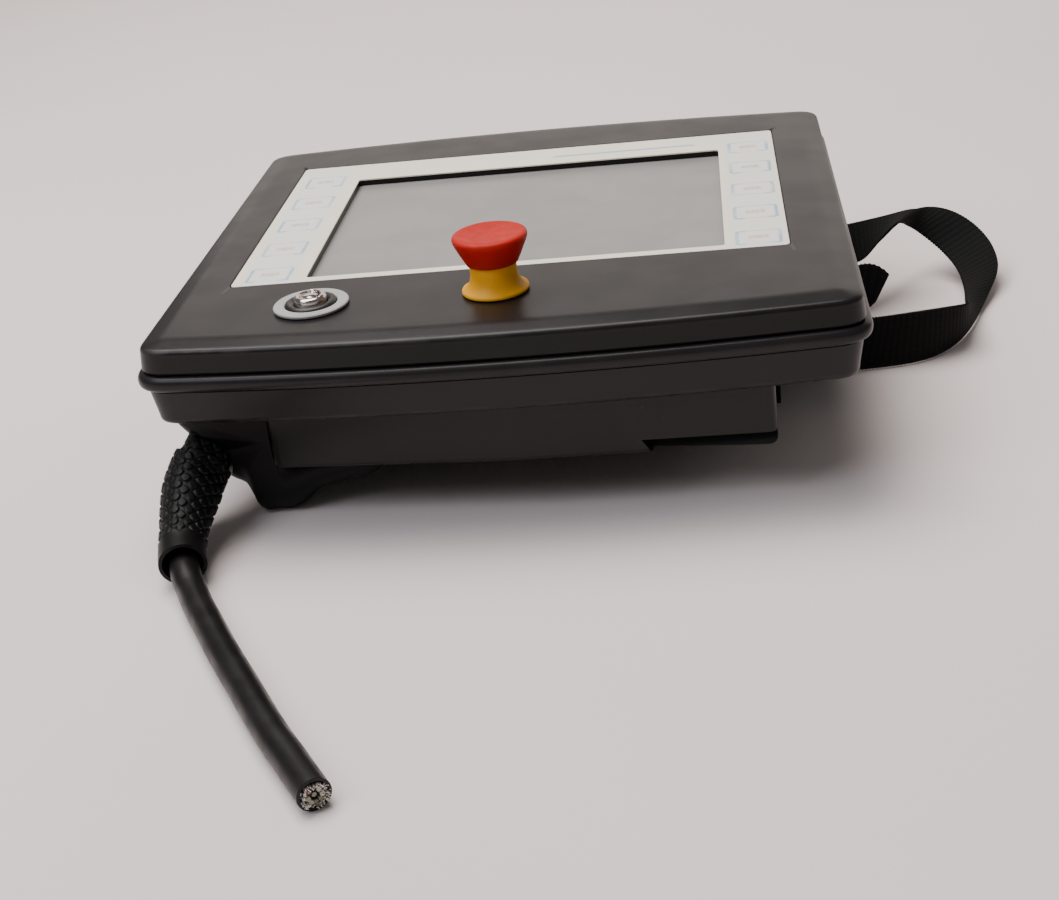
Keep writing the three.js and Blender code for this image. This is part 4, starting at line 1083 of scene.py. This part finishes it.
class PENDANT_OT_strap(bpy.types.Operator):
    """Makes the hand strap, its loose tail and the plates that clamp it."""

    bl_idname = "pendant.strap"
    bl_label = "Hand strap"

    def band(self, name, edges, picot, rows, tip=0.0):
        """A flat rounded section carried along two edge lines; its edges swell and shrink 1.6 mm apart."""
        line, run = smooth_path(edges, rows)
        low, high = line[:, :3], line[:, 3:]
        middle, across = (low + high) / 2, high - low
        width = np.linalg.norm(across, axis=1)
        across /= width[:, None]
        ahead = np.gradient(middle, axis=0)
        out = np.cross(ahead, across)
        out /= np.linalg.norm(out, axis=1)[:, None]
        flat = 0.064  # the section's thickness where its width is 1
        section = frame_line(1.0, flat, 0, 0, 0.03, counts=(22, 1, 5))
        sides = len(section)
        edge = np.clip((np.abs(section[:, 0]) - 0.46) / 0.04, 0, 1)[None, :] * np.sign(section[:, 0])
        swing = picot * (0.5 + 0.5 * np.cos(2 * math.pi * run / RIB))[:, None]
        spread = section[None, :, 0] * (width[:, None] - 0.6) + edge * (swing - picot / 2)
        if tip:
            rounded = np.sqrt(np.clip(1 - ((run - run[-1] + tip) / tip).clip(0, 1) ** 2, 0.02, 1))[:, None]
            spread = spread * (0.7 + 0.3 * rounded)
        lift = section[None, :, 1] / flat * STRAP_THICKNESS
        rings = middle[:, None] + spread[..., None] * across[:, None] + lift[..., None] * out[:, None]
        piece = closed_stack(name, rings, sharp=60)
        walk = np.linalg.norm(np.diff(section * [25, 25], axis=0, append=section[:1] * 25), axis=1)
        around = np.concatenate([[0], np.cumsum(walk)])
        add_grid_uv(piece, rows, sides, run, around)
        return piece

    def execute(self, context):
        picot = context.scene.pendant_sizes.picot / MM
        webbing = woven_webbing(context.scene.pendant_colours)
        coated = metal("steel_black_oxide", "2A2A2B", 0.5)
        strap = self.band("hand_strap_webbing", STRAP_EDGES, picot, 1100)
        place(strap, "housing", "webbing", webbing, "hand_strap")
        tail = self.band("strap_tail_webbing", TAIL_EDGES, picot, 190, tip=9.0)
        place(tail, "housing", "webbing", webbing, "strap_tail")
        for node in ("strap_plate_front", "strap_plate_rear"):
            place(softened(node, 0.35), "housing", "zinc_steel", coated, node)
        return {"FINISHED"}


class PENDANT_OT_inside(bpy.types.Operator):
    """Gives the pieces inside the housing and the screws their finishes."""

    bl_idname = "pendant.inside"
    bl_label = "Inner pieces and screws"

    def execute(self, context):
        zinc = metal("steel_zinc_plated", "B3B5B8", 0.35, (1, 1, 1), 0.8)
        black = moulded_plastic("polyamide_black_inner", linear("0F0F10"), 0.45)
        screws = [f"{kind}_screw_{number}" for kind in ("shell", "cover") for number in range(1, 5)]
        finish_nodes(zinc, "stop_spring", "stop_nut", "key_nut", *screws)
        pressed = metal("aluminium_pressed", "C4C7CA", 0.4, (0.1, 1, 1), 1.0)
        finish_nodes(pressed, "display_module", "display_bracket")
        finish_nodes(black, "stop_stem", "stop_contacts", "key_contacts", "enable_switch", "gland_body", "gland_nut")
        finish_nodes(metal("brass_nickel_plated", "C9C4B8", 0.25), "key_barrel")
        finish_nodes(circuit_board(), "main_board")
        finish_nodes(moulded_plastic("polyamide_green_moulded", linear("3F7F4A"), 0.4), "terminal_block")
        clear = moulded_plastic("polyester_dome_sheet", linear("B9BEC2"), 0.3)
        finish_nodes(clear, "dome_sheet_left", "dome_sheet_right")
        textured_abs(context.scene.pendant_colours)
        return {"FINISHED"}


class PENDANT_PT_pieces(bpy.types.Panel):
    """Lists the pendant's pieces and settings."""

    bl_idname = "PENDANT_PT_pieces"
    bl_label = "Pendant"
    bl_space_type = "VIEW_3D"
    bl_region_type = "UI"
    bl_category = "Pendant"

    def draw(self, context):
        for group in (context.scene.pendant_sizes, context.scene.pendant_colours):
            for name in group.__annotations__:
                self.layout.prop(group, name)
        for operator in OPERATORS:
            self.layout.operator(operator.bl_idname)


OPERATORS = (
    PENDANT_OT_stage, PENDANT_OT_cable, PENDANT_OT_inside, PENDANT_OT_front_shell, PENDANT_OT_rear_shell,
    PENDANT_OT_cover, PENDANT_OT_grip, PENDANT_OT_keypad, PENDANT_OT_stop, PENDANT_OT_key_switch,
    PENDANT_OT_strap,
)
CLASSES = (PendantColours, PendantSizes, *OPERATORS, PENDANT_PT_pieces)


def register():
    for item in CLASSES:
        bpy.utils.register_class(item)
    bpy.types.Scene.pendant_colours = bpy.props.PointerProperty(type=PendantColours)
    bpy.types.Scene.pendant_sizes = bpy.props.PointerProperty(type=PendantSizes)


def unregister():
    del bpy.types.Scene.pendant_sizes
    del bpy.types.Scene.pendant_colours
    for item in reversed(CLASSES):
        bpy.utils.unregister_class(item)


def main():
    register()
    bpy.ops.pendant.stage()
    bpy.ops.pendant.cable()
    bpy.ops.pendant.inside()
    bpy.ops.pendant.front_shell()
    bpy.ops.pendant.rear_shell()
    bpy.ops.pendant.cover()
    bpy.ops.pendant.grip()
    bpy.ops.pendant.keypad()
    bpy.ops.pendant.stop()
    bpy.ops.pendant.key_switch()
    bpy.ops.pendant.strap()


if __name__ == "__main__":
    main()
